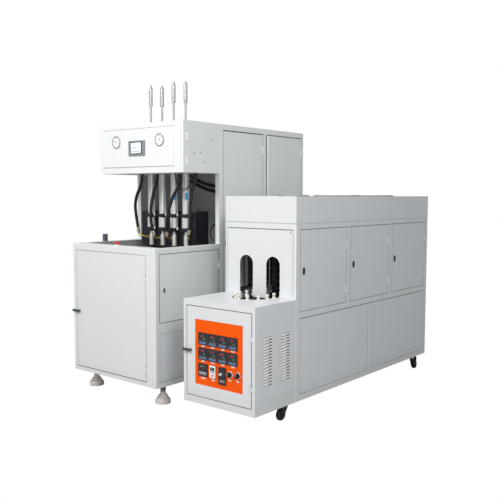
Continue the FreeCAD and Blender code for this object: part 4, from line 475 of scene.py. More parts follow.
BLOWING_HOSES = {
    0.5165: [(-664.5, -700, 1703), (-665.5, -700, 1634), (-695.5, -698, 1577), (-741.5, -691, 1521),
             (-774.5, -680, 1448.5), (-782.5, -666, 1371), (-779.5, -652, 1291),
             (-776.5, -640, 1219.5)],
    0.5193: [(-482.5, -700, 1703), (-484.5, -701, 1635), (-524.5, -705, 1540.5),
             (-554.5, -706, 1434), (-565.5, -700, 1330), (-562.5, -687, 1264),
             (-556.5, -670, 1198.5)],
    0.5495: [(-216.5, -700, 1703), (-216.5, -700, 1637.5), (-242.5, -703, 1584.5),
             (-294.5, -708, 1523.5), (-345.5, -710, 1419.5), (-372.5, -704, 1322.5),
             (-390.5, -690, 1271.5), (-408.5, -672, 1201)],
    0.4995: [(-72.5, -686, 1703), (-74.5, -686, 1639), (-114.5, -688, 1560), (-133.5, -686, 1463),
             (-144.5, -678, 1356.5), (-155.5, -667, 1286), (-180.5, -654, 1220.5)]}
INNER_HOSES = {
    0.7803: [(-482, -527, 1727), (-482, -467, 1727), (-461.2, -412, 1708), (-422, -372.5, 1672.5),
             (-318, -322, 1614), (-205, -278, 1590), (-117.5, -177, 1606), (-80.5, -67, 1632),
             (-80.5, 30, 1632)],
    0.8326: [(-552.5, -527, 1716), (-552.5, -467, 1716), (-533.3, -411, 1698),
             (-479.5, -350, 1648.5), (-352.5, -290, 1575), (-222.5, -245, 1546),
             (-127.5, -157, 1560), (-84.5, -57, 1582), (-84.5, 30, 1582)]}
SENSOR_CABLE = [(24.5, -505, 1312), (-20.5, -505, 1312), (-62.5, -506, 1290), (-92.5, -507, 1238),
                (-70.5, -506, 1178), (-20.5, -505, 1150), (24.5, -505, 1150)]
LOOP_TUBE = [(-253.5, -728, 1703), (-253.5, -728, 1645), (-203.5, -734, 1580), (-145.5, -736, 1556),
             (-93.5, -734, 1590), (-70.5, -728, 1645), (-70.5, -728, 1703)]
STATIONS_X = (-640.5, -508.5, -376.5, -244.5)
STATIONS_Y = -620
for number, (length, route) in enumerate(BLOWING_HOSES.items(), start=1):
    hose(f"blowing_hose_{number}", route, 0.025, hose_rubber, "air_hoses")
for number, (length, route) in enumerate(INNER_HOSES.items(), start=1):
    hose(f"inner_hose_{number}", route, 0.028, hose_rubber, "air_hoses")
hose("sensor_cable", SENSOR_CABLE, 0.010, cable_sheath, "air_hoses")
for number, x in enumerate(STATIONS_X, start=1):
    out = x + 46
    hose(f"pilot_tube_{number}", [(out, -630, 1379), (out + 1, -631, 1451), (out - 4, -642, 1613),
                                  (out - 4, -642, 1703)],
         0.006, tube_nylon, "pilot_tubes")
hose("loop_tube", LOOP_TUBE, 0.008, cable_sheath, "pilot_tubes")
print("free hoses and tubes:", len(bpy.data.curves))

# %% [markdown]
# ## Surfaces from two parameters
# The small fittings are surfaces on a grid: one number runs round, the other along. `lathe` turns a
# profile about an axis, `slab` carries a rounded rectangle up a profile, and `pipe` carries a ring along a
# path. Each gives points and faces as whole arrays, and `publish` puts one or more into a mesh.


# %% Grid, lathe, slab and pipe
def grid_faces(rows, columns, closed=True):
    """Quads between neighbours on a grid of points; closed joins the last column to the first."""
    return [[down * columns + across, down * columns + (across + 1) % columns,
             (down + 1) * columns + (across + 1) % columns, (down + 1) * columns + across]
            for down in range(rows - 1) for across in range(columns if closed else columns - 1)]


def capped(rings):
    """A skin over rings of points, of shape (rings, around, 3), with a flat face on both ends."""
    count, around, _ = rings.shape
    faces = grid_faces(count, around)
    faces.append(list(range(around)))
    faces.append(list(range((count - 1) * around, count * around)))
    return rings.reshape(-1, 3), faces


def lathe(profile, turns):
    """Profile (radius, height) turned about Z: x = r cos a, y = r sin a, z = h."""
    radius, height = np.array(profile, float).T
    angle = np.arange(turns) * 2 * np.pi / turns
    rings = np.stack([np.outer(radius, np.cos(angle)), np.outer(radius, np.sin(angle)),
                      np.outer(height, np.ones(turns))], axis=2)
    return capped(rings)


def hoop(profile, turns):
    """A profile that closes on itself, turned about Z, so it has no end faces."""
    points, faces = lathe([*profile, profile[0]], turns)
    return points, faces[:-2]


def slab(width, height, profile, corner=1.0, steps=4):
    """A rounded rectangle on XY carried up Z; the profile is (inset, level), and at each level the
    outline is the rectangle moved in by inset, with quarter circles of radius corner - inset."""
    rings = []
    for inset, level in profile:
        radius = max(corner - inset, 0.05)
        half = np.array([width / 2 - inset - radius, height / 2 - inset - radius])
        outline = []
        for quarter, (right, up) in enumerate(((1, 1), (-1, 1), (-1, -1), (1, -1))):
            angle = np.linspace(0, np.pi / 2, steps + 1) + quarter * np.pi / 2
            outline.append(np.stack([right * half[0] + radius * np.cos(angle),
                                     up * half[1] + radius * np.sin(angle)], axis=1))
        flat = np.concatenate(outline)
        rings.append(np.column_stack([flat, np.full(len(flat), float(level))]))
    return capped(np.array(rings))


def plate(width, height, thick, corner, level=0.0, steps=4):
    return slab(width, height, [(0, level), (0, level + thick)], corner, steps)


def bar(length, width, thick=0.3, level=0.0):
    return plate(length, width, thick, min(width, length) * 0.2, level, 1)


def pipe(path, radius, across, sides=18):
    """A ring carried along a path: p(s) + r (cos a * side + sin a * up), with side across it."""
    ahead = np.gradient(path, axis=0)
    ahead /= np.linalg.norm(ahead, axis=1)[:, None]
    up = np.cross(ahead, across)
    up /= np.linalg.norm(up, axis=1)[:, None]
    side = np.cross(up, ahead)
    angle = np.arange(sides) * 2 * np.pi / sides
    ring = (np.cos(angle)[None, :, None] * side[:, None, :]
            + np.sin(angle)[None, :, None] * up[:, None, :])
    return capped(path[:, None, :] + radius * ring)


def smooth_path(points, count=7):
    """Quadratic arcs from middle to middle of the runs, with the corners as their control points."""
    points = np.asarray(points, float)
    middles = (points[1:] + points[:-1]) / 2
    starts = np.vstack([points[:1], middles[1:-1]])
    ends = np.vstack([middles[1:-1], points[-1:]])
    share = np.linspace(0, 1, count)[None, :, None]
    arcs = ((1 - share) ** 2 * starts[:, None] + 2 * share * (1 - share) * points[1:-1][:, None]
            + share ** 2 * ends[:, None])
    return np.vstack([arcs[:, :-1].reshape(-1, 3), points[-1:]])


SHARP_FROM = 32
FACING = {
    "up": np.eye(3),
    "front": np.array([[1, 0, 0], [0, 0, 1], [0, -1, 0]]),
    "right": np.array([[0, 1, 0], [0, 0, 1], [1, 0, 0]])}


def at(shape, x, y, z, facing="up", turn=0.0):
    """The shape turned in its own plane, faced one way and moved to a place in millimetres."""
    points, faces = shape
    angle = math.radians(turn)
    spun = np.array([[math.cos(angle), math.sin(angle), 0], [-math.sin(angle), math.cos(angle), 0],
                     [0, 0, 1]])
    return points @ spun @ FACING[facing] + np.array([x, y, z]), faces


def front(shape, x, y, z, turn=0.0):
    return at(shape, x, y, z, "front", turn)


def fronts(shapes, x, y, z):
    return [front(shape, x, y, z) for shape in shapes]


def shifted(shape, x, y, z=0.0):
    return shape[0] + np.array([x, y, z]), shape[1]


def pointed(shape, start, ahead):
    """The shape with its Z axis laid along a direction, from a start."""
    points, faces = shape
    turn = np.array(Vector(ahead).to_track_quat("Z", "Y").to_matrix())
    return points @ turn.T + np.asarray(start, float), faces


def publish(name, shapes, finish, body, stands_for=()):
    """One piece from shapes in millimetres: merged, turned outwards, smoothed and riding a body."""
    points, faces, start = [], [], 0
    for shape_points, shape_faces in shapes:
        points.append(shape_points)
        faces += [[corner + start for corner in face] for face in shape_faces]
        start += len(shape_points)
    mesh = bpy.data.meshes.new(name)
    mesh.from_pydata((np.concatenate(points) * MM).tolist(), [], faces)
    shell = bmesh.new()
    shell.from_mesh(mesh)
    bmesh.ops.remove_doubles(shell, verts=shell.verts, dist=1e-6)
    bmesh.ops.recalc_face_normals(shell, faces=shell.faces)
    shell.to_mesh(mesh)
    shell.free()
    mesh.polygons.foreach_set("use_smooth", np.ones(len(mesh.polygons), bool))
    mesh.set_sharp_from_angle(angle=math.radians(SHARP_FROM))
    mesh.materials.append(finish.material)
    piece = bpy.data.objects.new(name, mesh)
    scene.collection.objects.link(piece)
    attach(piece, body)
    if stands_for:
        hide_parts(*stands_for)


def publish_all(body, rows, stands_for=()):
    """Several pieces on one body; a row holds a name, its shapes, a finish and a slot name, which is not
    used.
    """
    for name, shapes, finish, slot_name in rows:
        publish(name, shapes, finish, body, stands_for)


# %% [markdown]
# ## Hose ends
# A pressed sleeve holds each hose end. Below it a plated elbow turns to the side of the blow head, where
# a copper union nut and a plated stub join them. The sleeve's ridges are where the press jaws bit.

# %% Sleeves, elbows and nuts
HEAD_SIDE = 18.0
PORT_HEIGHT = 1178.0
GROOVE = ((14, 0), (13, 1), (13, 3), (14, 4))
SLEEVE = [(12.6, -38), (13.4, -37.5), (14, -36.5),
          *((radius, start + rise) for start in (-29, -18, -7) for radius, rise in GROOVE),
          (14, 3), (12.4, 4), (0, 4)]
COPPER_NUT = [(0, 12), (10.6, 12), (12, 13.4), (12, 25), (10.6, 26.4), (0, 26.4)]
STUB = [(0, -0.6), (9.2, -0.6), (10.2, 0.4), (10.2, 6), (8.4, 7), (8.4, 12), (0, 12)]
sleeves, elbows, nuts, stubs = [], [], [], []
for x, route in zip(STATIONS_X, BLOWING_HOSES.values()):
    end = np.array(route[-1], float)
    along = end - np.array(route[-2], float)
    along /= np.linalg.norm(along)
    away = np.array([-1.0 if end[0] < x else 1.0, 0, 0])
    inlet = np.array([x, STATIONS_Y, PORT_HEIGHT])
    below, outside = end + along * 26, inlet + away * (HEAD_SIDE + 26)
    path = smooth_path([end, below, outside, inlet + away * (HEAD_SIDE + 6)])
    sleeves.append(pointed(lathe(SLEEVE, 28), end, along))
    elbows.append(pipe(path, 7.8, np.cross(along, away)))
    nuts.append(pointed(lathe(COPPER_NUT, 6), inlet + away * HEAD_SIDE, away))
    stubs.append(pointed(lathe(STUB, 6), inlet + away * HEAD_SIDE, away))
publish_all("machine", [
    ("hose_sleeves", sleeves, crimp_metal, "brass_fitting"),
    ("hose_elbow_pipes", elbows, yellow_zinc, "brass_fitting"),
    ("hose_nuts", nuts, copper_nut, "brass_fitting"),
    ("blow_head_stubs", stubs, bright_steel, "brass_fitting")], ["hose_elbows"])
print("hose ends:", len(sleeves))

# %% [markdown]
# ## Push-in fittings
# Each cap has a fitting with a nickel thread and a white body; the thin tube pushes into its collar.

# %% Push-in fittings
THREAD = [(0, 0), (4.6, 0), (5.2, 0.8), (5.2, 3), (4.6, 3.4), (5.2, 3.8), (5.2, 6), (6.2, 6.4),
          (6.6, 7), (6.6, 10.5), (6.0, 11), (0, 11)]
COLLAR = [(0, -9), (5.2, -9), (6.2, -8), (6.2, 8), (5.0, 8.6), (5.0, 9.6), (6.8, 10), (6.8, 12.6),
          (5.6, 13.4), (3.2, 13.4), (3.2, 11), (0, 11)]
threads, collars = [], []
for x in STATIONS_X:
    for middle in (1361.0, 1251.0):
        threads.append(at(lathe(THREAD, 20), x + 34, STATIONS_Y - 10, middle, "right"))
        collars.append(at(lathe(COLLAR, 24), x + 46, STATIONS_Y - 10, middle + 5))
publish_all("machine", [("fitting_threads", threads, bright_steel, "hinge_steel"),
                        ("fitting_collars", collars, white_plastic, "white_tube")], ["pilot_tubes"])

# %% [markdown]
# ## Instruments of the head
# The two gauges are liquid-filled dials behind glass, and the screen between them is a touch panel in a
# grey frame. The dial's marks are thin raised bars on an arc of 270 degrees, long at each fifth, and the
# numbers are generic.


# %% Raised marks, numbers and needles
DIAL_START, DIAL_SWEEP = 225.0, 270.0


def on_arc(degrees, reach):
    """X and Y at an angle and a distance from the middle of a dial."""
    angle = math.radians(degrees)
    return reach * math.cos(angle), reach * math.sin(angle)


def arc_marks(count, long, short, start=DIAL_START, sweep=DIAL_SWEEP, thick=0.3, level=0.0):
    """Bars at even steps of an arc; a mark is (near, far, width), and every fifth one is long."""
    marks = []
    for step in range(count + 1):
        near, far, width = long if step % 5 == 0 else short
        turn = start - sweep * step / count
        marks.append(at(bar(far - near, width, thick, level), *on_arc(turn, (near + far) / 2), 0,
                        "up", turn))
    return marks


def number_shape(text, height):
    """A word of digits from Blender's own font, as points and faces in its own plane."""
    curve = bpy.data.curves.new("number", "FONT")
    curve.body = text
    thick = 0.3
    curve.size = height / 0.72
    curve.extrude = thick / 2
    curve.align_x = "CENTER"
    curve.align_y = "CENTER"
    curve.resolution_u = 3
    carrier = bpy.data.objects.new("number", curve)
    mesh = bpy.data.meshes.new_from_object(carrier)
    points = np.empty(len(mesh.vertices) * 3)
    mesh.vertices.foreach_get("co", points)
    faces = [list(face.vertices) for face in mesh.polygons]
    bpy.data.objects.remove(carrier)
    bpy.data.meshes.remove(mesh)
    return points.reshape(-1, 3) + np.array([0, 0, thick / 2]), faces


dial_white = moulded("white_dial_enamel", seen(244, 244, 240), 0.4)
ink_black = moulded("black_printing_ink", seen(22, 22, 24), 0.5)
needle_red = moulded("red_needle_lacquer", seen(190, 24, 20), 0.4)
needle_grey = moulded("grey_needle_lacquer", seen(70, 72, 76), 0.4)
glass = Finish("clear_glass", (1, 1, 1), 0.03, Alpha=0.06)
glass.feed("Roughness", glass.noise(9.0, 2.0) * 0.04 + 0.01)

GAUGES = ((-710.5, 62.0), (-218.5, 128.0))
GAUGE_Z, DISH_Y = 1937.0, -924.0
DIAL = [(0, 0), (41.6, 0), (41.6, 0.5), (41.0, 0.9), (0, 0.9)]
HUB = [(0, 0.9), (4.5, 0.9), (4.5, 2.6), (3.6, 3.2), (0, 3.2)]
LENS = [(0, 3.3), (41.8, 3.0), (41.8, 3.6), (0, 4.0)]
dials, inks, needles, lenses = [], [], [], []
for x, reading in GAUGES:
    place = (x, DISH_Y, GAUGE_Z)
    marks = arc_marks(50, (31.5, 37.5, 1.3), (34.0, 37.5, 0.6))
    for step in range(0, 11, 2):
        marks.append(shifted(number_shape(str(step), 5.2),
                             *on_arc(DIAL_START - DIAL_SWEEP * step / 10, 25.5)))
    blade = slab(46, 2.2, [(0, 0), (0, 0.5), (0.5, 0.8)], 1.0, 2)
    dials.append(front(lathe(DIAL, 64), *place))
    inks += fronts([shifted(mark, 0, 0, 0.9) for mark in marks], *place)
    needles.append(front(shifted(blade, 11, 0, 1.6), *place, DIAL_START - reading))
    needles.append(front(lathe(HUB, 24), *place))
    lenses.append(front(lathe(LENS, 48), *place))
publish_all("head_front_door", [
    ("gauge_dials", dials, dial_white, "gauge_face"),
    ("gauge_marks", inks, ink_black, "black_plastic"),
    ("gauge_needles", needles, needle_grey, "black_plastic"),
    ("gauge_glasses", lenses, glass, "lamp_quartz")])

# %% [markdown]
# ## The touch screen
# A grey frame holds a black glass with a lit page behind it. The page is generic: a pale ground, a row of
# round lamps, two bars and four keys. Every element is a thin raised slab, so it reads in the mesh too.

# %% Screen page
screen_glass = moulded("black_screen_glass", seen(52, 58, 66), 0.16, 200.0, 0.0, 0.04)
SCREEN_SKIN, DIGIT_SKIN = (0.3, 0.25, 14.0), (0.4, 0.3, 30.0)
page_light = lit("lit_screen_page", seen(238, 240, 240), seen(232, 236, 238), 0.25, *SCREEN_SKIN)
key_blue = lit("blue_screen_keys", seen(150, 172, 196), seen(150, 172, 196), 0.15, *SCREEN_SKIN)
SCREEN = (-478.5, -927.1, 1884.5)
LAMP = [(0, 1.2), (3.2, 1.2), (3.2, 1.6), (0, 1.7)]
keys = [shifted(slab(21, 9, [(0, 1.2), (0, 1.6), (0.4, 1.8)], 1.5), -37.5 + 25 * column, -26)
        for column in range(4)]
keys += [shifted(lathe(LAMP, 20), -42 + 12 * column, 27) for column in range(5)]
keys += [shifted(plate(length, 4.4, 0.4, 1.0, 1.2), -48 + length / 2, height)
         for length, height in ((78, 6), (52, -2))]
pane = slab(134, 92, [(0, 0), (0, 0.3), (0.4, 0.5)], 1.5)
publish_all("head_front_door", [
    ("screen_glass_plate", [front(pane, *SCREEN)], screen_glass, "black_plastic"),
    ("screen_page", [front(plate(114, 80, 0.7, 0.8, 0.5), *SCREEN)], page_light, "screen_frame"),
    ("screen_keys", fronts(keys, *SCREEN), key_blue, "screen_frame")])

# %% [markdown]
# ## The control panel
# Eight controllers sit in two rows on the orange plate, one for each lamp row. Each has a smoked window
# with red and green seven-segment digits, four keys and a blue band. Seven bars make a digit, and a
# table says which bars each digit lights.


# %% Seven-segment digits
LIT = {"0": "abcdef", "1": "bc", "2": "abged", "3": "abgcd", "4": "fgbc", "5": "afgcd",
       "6": "afgedc", "7": "abc", "8": "abcdefg", "9": "abcdfg"}
BARS = {"a": (0, 1, 0), "b": (1, 0.5, 90), "c": (1, -0.5, 90), "d": (0, -1, 0),
        "e": (-1, -0.5, 90), "f": (-1, 0.5, 90), "g": (0, 0, 0)}


def lit_digits(text, height, level):
    """Bars of the digits, set beside each other and leaning to the right by an eighth."""
    width, thick = height * 0.5, height * 0.12
    shapes = []
    for index, digit in enumerate(text):
        middle = (index - (len(text) - 1) / 2) * height * 0.82
        for letter in LIT[digit]:
            across, up, turn = BARS[letter]
            length = width * 0.86 if turn == 0 else height * 0.42
            x, y = middle + across * width / 2, up * height / 2
            points, faces = at(bar(length, thick, 0.25, level), x, y, 0, "up", turn)
            points[:, 0] += points[:, 1] / 8
            shapes.append((points, faces))
    return shapes


smoked_window = moulded("smoked_window", seen(40, 44, 52), 0.18, 200.0, 0.0, 0.05)
red_light = lit("red_digit_light", seen(176, 70, 66), seen(210, 70, 60), 0.3, *DIGIT_SKIN)
green_light = lit("green_digit_light", seen(90, 160, 130), seen(90, 190, 140), 0.25, *DIGIT_SKIN)
band_blue = moulded("blue_label_print", seen(72, 118, 176), 0.45)
label_white = moulded("white_label_print", seen(238, 238, 234), 0.45)
key_grey = moulded("grey_rubber_keys", seen(120, 124, 130), 0.5)

PANEL_LEFT, PANEL_TOP, BEZEL_Y, RECESS_Y, PLATE_Y = 388.5, 696.0, -1184.0, -1182.5, -1178.0
COLUMN_START, COLUMN_PITCH, ROWS_DOWN = 74, 88, (130, 232)
WINDOW = slab(66, 44, [(0, 0), (0, 0.8), (0.6, 1.2)], 2.5)
SPOT = lathe([(0, 1.2), (1.3, 1.2), (1.1, 1.6), (0, 1.7)], 12)
KEY = slab(11, 7, [(0, 0), (0, 1.2), (0.8, 1.8)], 2.4)
windows, reds, greens, bands, prints, buttons, numbers = [], [], [], [], [], [], []
for lamp_row in range(8):
    row, column = divmod(lamp_row, 4)
    x, z = PANEL_LEFT + COLUMN_START + COLUMN_PITCH * column, PANEL_TOP - ROWS_DOWN[row]
    windows.append(front(WINDOW, x, RECESS_Y, z + 11))
    reds += fronts(lit_digits(str(182 + 3 * lamp_row), 15, 1.2), x - 3, RECESS_Y, z + 20)
    greens += fronts(lit_digits(str(180 + 5 * (lamp_row % 3)), 9.5, 1.2), x + 12, RECESS_Y, z - 1)
    reds += [front(SPOT, x - 28, RECESS_Y, z + 26 - 6 * index) for index in range(2)]
    bands.append(front(plate(66, 8.5, 0.4, 0.8), x, RECESS_Y, z - 30.5))
    for index in range(4):
        prints.append(front(bar(7, 1.4, 0.2, 0.4), x - 22.5 + 15 * index, RECESS_Y, z - 30.5))
        buttons.append(front(KEY, x - 24 + 16 * index, RECESS_Y, z - 20))
    prints.append(front(plate(30, 9, 0.3, 0.8), x, PLATE_Y, z - 50.5))
    numbers.append(front(number_shape(str(lamp_row + 1), 6), x, PLATE_Y - 0.3, z - 50.5))

# %% [markdown]
# Under the controllers stand a moving-coil meter, a white voltage module with a red button, and the
# dark speed module whose knob is a CAD node. Beside them, two rotary switches have silver collars.

# %% Meter, modules and switches
METER_X, METER_Z = PANEL_LEFT + 76, PANEL_TOP - 342
METER_ZERO = (METER_X, RECESS_Y, METER_Z - 6)
prints += fronts(arc_marks(20, (30, 35.5, 0.9), (30, 33.2, 0.5), 135, 90, 0.25, 0.7), *METER_ZERO)
pointer = front(shifted(bar(34, 0.8, 0.4), 17, 0, 1.2), *METER_ZERO, 118)
cover = front(slab(72, 22, [(0, 0), (0, 1.6), (1.2, 2.4)], 3), METER_X, RECESS_Y, METER_Z - 24)
METER_SCREW = [(0, 2.4), (3.2, 2.4), (2.8, 3.2), (0, 3.4)]
VOLT_X, VOLT_Z = PANEL_LEFT + 165, PANEL_TOP - 342
volt_front = front(slab(53.6, 83.6, [(0, -0.4), (0, 0.9), (1.2, 2.1)], 3), VOLT_X, BEZEL_Y, VOLT_Z)
volt_window = slab(38, 24, [(0, 2.1), (0, 2.6), (0.5, 2.9)], 1.5)
greens += fronts(lit_digits("220", 11, 2.9), VOLT_X, BEZEL_Y, VOLT_Z + 18)
test_key = slab(18, 8, [(0, 2.1), (0, 4.2), (0.8, 5.0)], 2.5)
bands.append(front(plate(34, 5, 0.3, 0.8, 2.1), VOLT_X, BEZEL_Y, VOLT_Z - 4))
SPEED_X, SPEED_Z = 628.5, 351.0
SPEED_MARKS = arc_marks(10, (11.5, 15.5, 1.3), (12.5, 15.5, 0.6), level=0.05)
prints += fronts(SPEED_MARKS, SPEED_X, RECESS_Y, SPEED_Z)
prints += [front(plate(44, 2.2, 0.3, 0.5), SPEED_X + 8.5, RECESS_Y, SPEED_Z - drop) for drop in (42, 51)]
LABELS = ((METER_X, METER_Z - 54, 46), (VOLT_X, VOLT_Z - 54, 34), (702.5, 324, 30), (769.5, 327, 26))
for x, z, width in LABELS:
    prints += [front(plate(width, 5.5, 0.3, 0.6), x, PLATE_Y, z),
               front(plate(width * 0.8, 3, 0.3, 0.6), x, PLATE_Y, z - 7)]
publish_all("control_door", [
    ("controller_windows", windows, smoked_window, "black_plastic"),
    ("controller_red_digits", reds, red_light, "stop_red"),
    ("controller_keys", buttons, key_grey, "black_plastic"),
    ("controller_green_digits", greens, green_light, "screen_frame"),
    ("meter_face", [front(plate(70, 44, 0.7, 1.5), METER_X, RECESS_Y, METER_Z + 14)], smoked_window,
     "black_plastic"),
    ("meter_cover", [cover], key_grey, "screen_frame"),
    ("meter_line", [front(plate(60, 3, 0.3, 0.8, 2.4), METER_X, RECESS_Y, METER_Z - 17)],
     label_white, "gauge_face"),
    ("meter_pointer", [pointer], needle_red, "stop_red"),
    ("meter_screw", [front(lathe(METER_SCREW, 20), METER_X, RECESS_Y, METER_Z - 22)], bright_steel,
     "hinge_steel"),
    ("voltage_front", [volt_front], white_plastic, "white_tube"),
    ("voltage_window", [front(volt_window, VOLT_X, BEZEL_Y, VOLT_Z + 18)], smoked_window,
     "black_plastic"),
    ("voltage_test_key", [front(test_key, VOLT_X, BEZEL_Y, VOLT_Z - 24)], stop_plastic, "stop_red"),
    ("blue_bands", bands, band_blue, "screen_frame"),
    ("white_prints", prints, label_white, "gauge_face"),
    ("panel_numbers", numbers, ink_black, "black_plastic")])

KNOB_FACE, SPEED_FACE = -1198.0, -1196.0
SWITCHES = {"selector_knob_1": (702.5, 360.0, 38.0), "selector_knob_2": (769.5, 363.0, -20.0)}
HANDLE = [(0, 0), (0, 6.5), (1.0, 8.2), (2.6, 8.8)]
SWITCH_COLLAR = [(19.2, 0), (22.5, 0), (22.5, 2.0), (21.4, 3.0), (19.2, 3.0)]
for body, (x, z, turn) in SWITCHES.items():
    publish(f"{body}_collar", [front(hoop(SWITCH_COLLAR, 48), x, PLATE_Y, z)], zinc_plate,
            "control_door")
    handle = front(slab(11, 34, HANDLE, 3.5), x, KNOB_FACE, z, turn)
    line = front(shifted(plate(2.0, 13, 0.4, 0.6), 0, 8.5, 8.8), x, KNOB_FACE, z, turn)
    publish_all(body, [(f"{body}_handle", [handle], black_plastic, "black_plastic"),
                       (f"{body}_line", [line], label_white, "gauge_face")])
grip_line = front(plate(1.4, 6, 0.4, 0.5), SPEED_X, SPEED_FACE, SPEED_Z + 3.5)
publish("speed_knob_line", [grip_line], ink_black, "speed_knob")

# %% [markdown]
# ## Locks, screws and labels
# The side doors have oval push locks of black plastic with a key barrel. Small pan-head screws hold the
# head's side, and two barrels carry a blue label with a pink edge, which stays bare here.

# %% Locks
LOCK = [(0, 0), (0, 3.2), (0.8, 4.4), (2.4, 5.0)]
KEYWAY = [(0, 5.0), (6.4, 5.0), (6.4, 6.2), (5.6, 6.8), (0, 6.8)]
LOCKS = [("base_side_door", BLOWER_SIDE, -1121, 847, 0.72), ("rear_door_1", BLOWER_SIDE, -453, 1150, 1.0),
         ("rear_door_2", BLOWER_SIDE, 90, 1150, 1.0)]
LOCKS += [(f"heater_door_{number}", HEATER_SIDE, -1302 + HEATER_DOOR_PITCH * number, 1010, 1.0)
          for number in range(1, 4)]
for body, x, y, z, size in LOCKS:
    lock = at(slab(25 * size, 50 * size, LOCK, 12.4 * size, 8), x, y, z, "right")
    barrel = [at(lathe(KEYWAY, 28), x, y, z - 8 * size, "right"),
              at(bar(7, 1.4, 0.3, 6.8), x, y, z - 8 * size, "right", 90)]
    publish_all(body, [(f"{body}_lock", [lock], black_plastic, "black_plastic"),
                       (f"{body}_key_barrel", barrel, dark_chrome, "hinge_steel")])

# %% Screws and labels
PAN_HEAD = [(0, 2.6), (2.2, 2.5), (4.0, 1.9), (4.8, 0.8), (4.9, 0), (0, 0)]
SIDE_SCREWS = ((-805, 1839), (-739, 1842), (-613, 1938), (-696, 1772.5))
side_screws = [at(lathe(PAN_HEAD, 20), BLOWER_SIDE, y, z, "right") for y, z in SIDE_SCREWS]
publish("head_side_screws", side_screws, black_coat, "machine")
publish("tunnel_panel_screw", [front(lathe(PAN_HEAD, 20), 866, TUNNEL_FRONT, 1274)], dark_chrome,
        "machine")

label_blue = moulded("blue_barrel_label", seen(90, 184, 236), 0.4)
label_pink = moulded("pink_label_edge", seen(226, 110, 130), 0.4)
LABEL_SECTION = ((28.05, 1486.0), (28.4, 1486.0), (28.4, 1540.0), (28.05, 1540.0))


def wrap(half_angle, middle, steps=13):
    """A label on a barrel: x = r sin a, y = -r cos a for a round the middle, with a thin edge."""
    angle = np.linspace(-half_angle, half_angle, steps) + middle
    rings = [np.column_stack([reach * np.sin(angle), -reach * np.cos(angle), np.full(steps, height)])
             for reach, height in LABEL_SECTION]
    faces = grid_faces(4, steps, closed=False)
    faces += [[ring * steps + end for ring in range(4)] for end in (0, steps - 1)]
    faces += [[index, index + 1, 3 * steps + index + 1, 3 * steps + index] for index in range(steps - 1)]
    return np.array(rings).reshape(-1, 3), faces


labels, edges = [], []
for x, turn in zip(STATIONS_X[2:], (1.3, 1.15)):
    labels.append(at(wrap(0.62, turn), x, STATIONS_Y, 0))
    edges.append(at(wrap(0.07, turn - 0.69), x, STATIONS_Y, 0))
publish_all("machine", [("barrel_labels", labels, label_blue, "screen_frame"),
                        ("barrel_label_edges", edges, label_pink, "stop_red")])

# %% [markdown]
# ## Feet, holders and fan guards
# The blower stands on four nylon pads, stepped like a bell, each on a threaded stud with a lock nut. The
# chain carries a row of cream cups round a loop of two straights and two half circles. Over each roof
# fan lies a guard of wire rings and four spokes.

# %% Levelling feet
BELL = [(0, 0), (55, 0), (57, 4), (57, 15), (54, 28), (48, 38), (37, 42), (36, 58), (25, 64), (22, 70),
        (21, 88), (0, 88)]
STUD = [(0, 87), (9.4, 87), (9.4, 145), (0, 145)]
LOCK_NUT = [(9.4, 96), (20, 96), (22, 98), (22, 116), (20, 118), (9.4, 118)]
FEET = [(x, y) for x in (-827.5, -57.5) for y in (-1056, 436)]
for name, shape, finish, slot_name in (
        ("foot_bells", lathe(BELL, 40), pad_nylon, "foot_cream"),
        ("foot_studs", lathe(STUD, 20), bright_steel, "hinge_steel"),
        ("foot_lock_nuts", lathe(LOCK_NUT, 6), dark_chrome, "hinge_steel")):
    publish(name, [at(shape, x, y, 0) for x, y in FEET], finish, "machine",
            ["levelling_feet"])

# %% Sensor case
case = at(slab(30, 34, [(2, 0), (0, 2), (0, 57), (3, 60)], 4.0), -889.5, -903, 1147)
publish("sensor_case", [case], sensor_plastic, "machine", ["sensor_block"])

# %% Preform holders
CHAIN_X, CHAIN_FRONT, CHAIN_REAR, CHAIN_RADIUS = 597.5, -815.0, 1070.0, 119.0
CUP_COUNT = 59
HOLDER = [(0, 800), (5, 800), (5, 804), (15.6, 804), (16, 810), (13.5, 821), (9, 827), (9, 831),
          (12.4, 833), (12.4, 847), (11, 850), (0, 850)]


def chain_places(count):
    """Even steps round two straights and two half circles, from the front of the left straight."""
    straight, turn = CHAIN_REAR - CHAIN_FRONT, math.pi * CHAIN_RADIUS
    for step in range(count):
        half, run = divmod(step * 2 * (straight + turn) / count, straight + turn)
        side, start = (1, CHAIN_REAR) if half else (-1, CHAIN_FRONT)
        angle = max(0.0, run - straight) / CHAIN_RADIUS
        ahead = min(run, straight) + CHAIN_RADIUS * math.sin(angle)
        yield CHAIN_X + side * CHAIN_RADIUS * math.cos(angle), start - side * ahead


cups = [at(lathe(HOLDER, 18), x, y, 0) for x, y in chain_places(CUP_COUNT)]
publish("preform_cups", cups, holder_nylon, "machine", ["preform_holders"])

# %% Fan guards
FANS = ((-341, 105), (250, 180), (793, 180))
GUARD_Z, RIM_Z = 1524, 1520.2
guards = []
for y, radius in FANS:
    for reach in np.arange(radius - 4, 20, -24):
        angle = np.linspace(0, 2 * np.pi, 49)
        ring = np.stack([reach * np.cos(angle), reach * np.sin(angle), np.zeros(49)], axis=1)
        guards.append(at(pipe(ring, 1.8, (0, 0, 1), 8), CHAIN_X, y, GUARD_Z))
    rim = [(radius + 10, 0), (radius + 11, 0), (radius + 11, 4.4), (radius + 10, 4.4)]
    guards.append(at(hoop(rim, 64), CHAIN_X, y, RIM_Z))
    for turn in (45, 135):
        guards.append(at(plate(2 * radius - 2, 4, 3, 1.0, -4.5, 1), CHAIN_X, y, GUARD_Z, "up", turn))
publish("fan_guards", guards, black_coat, "machine")

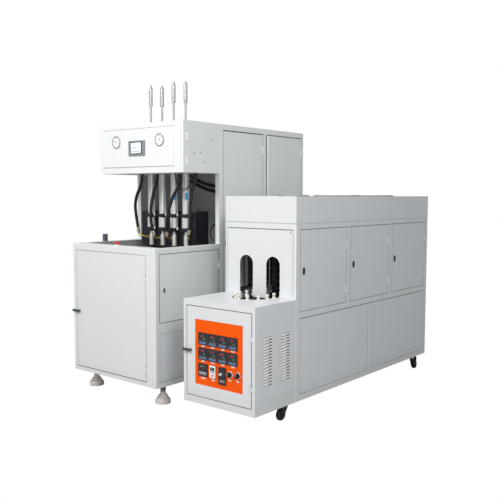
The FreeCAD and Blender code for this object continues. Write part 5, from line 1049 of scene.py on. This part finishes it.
# %% [markdown]
# ## Last pieces
# Through the left arch one sees a plain grey shield and the ends of the lamps in their clips; through
# the right arch it is dark, with one narrow upright. The second rear door has a folded lip down its free
# edge, which catches the light. Four strips of filler seal the louvre plate into the heater's side.

# %% Lamp shield, clips and upright
shield_grey = moulded("grey_lamp_shield", seen(236, 240, 236), 0.5, 200.0, 0.05)
upright_grey = moulded("grey_upright", seen(96, 104, 114), 0.4)
clip_grey = moulded("pale_lamp_clip", seen(176, 180, 182), 0.4)
clips = [at(slab(26, 6, [(0, 0), (0, 6), (1, 8)], 2.0), 323, -517, 868 + 18 * step, "right")
         for step in range(14)]
publish_all("machine", [
    ("lamp_shield", [at(plate(195, 270, 2, 2.0), 322, -637.5, 985, "right")], shield_grey,
     "reflector_sheet"),
    ("lamp_end_plate", [at(plate(110, 270, 2, 2.0), 321, -485, 985, "right")], black_coat, "black_paint"),
    ("lamp_clips", clips, clip_grey, "hinge_steel"),
    ("tunnel_upright", [front(plate(5, 262, 3, 1.0), 678, -731, 972)], upright_grey, "frame_steel")])

# %% Door lip and louvre seam
lip = [(BLOWER_SIDE, 60), (BLOWER_SIDE + 10, 70), (BLOWER_SIDE, 72)]
corners = np.array([[(x, y, z) for x, y in lip] for z in (203.0, 2017.0)])
publish("rear_door_lip", [capped(corners)], white_plastic, "rear_door_2")
seam = [at(plate(4.4, 344, 0.25, 0.5, 0.0, 1), HEATER_SIDE, y, 460, "right") for y in (-1113.2, -794.8)]
seam += [at(plate(322, 4.4, 0.25, 0.5, 0.0, 1), HEATER_SIDE, -954, z, "right") for z in (290.8, 629.2)]
publish("louvre_seam", seam, heater_coat, "machine")

# %% The floor
ground = Finish("white_floor", (0.45, 0.45, 0.45), 0.7)
view_ray = ground.add("LightPath", {}, {}, "Is Camera Ray")
glow = ground.add("Emission", {}, {"Color": (1, 1, 1, 1), "Strength": 1.0})
mixed = ground.add("MixShader", {}, {0: view_ray, 1: ground.shader.outputs[0], 2: glow})
ground.tree.links.new(mixed.socket, ground.tree.nodes["Material Output"].inputs["Surface"])
bpy.ops.mesh.primitive_grid_add(x_subdivisions=2, y_subdivisions=2, size=40)
floor = bpy.context.object
floor.name = "studio_floor"
floor.data.materials.append(ground.material)
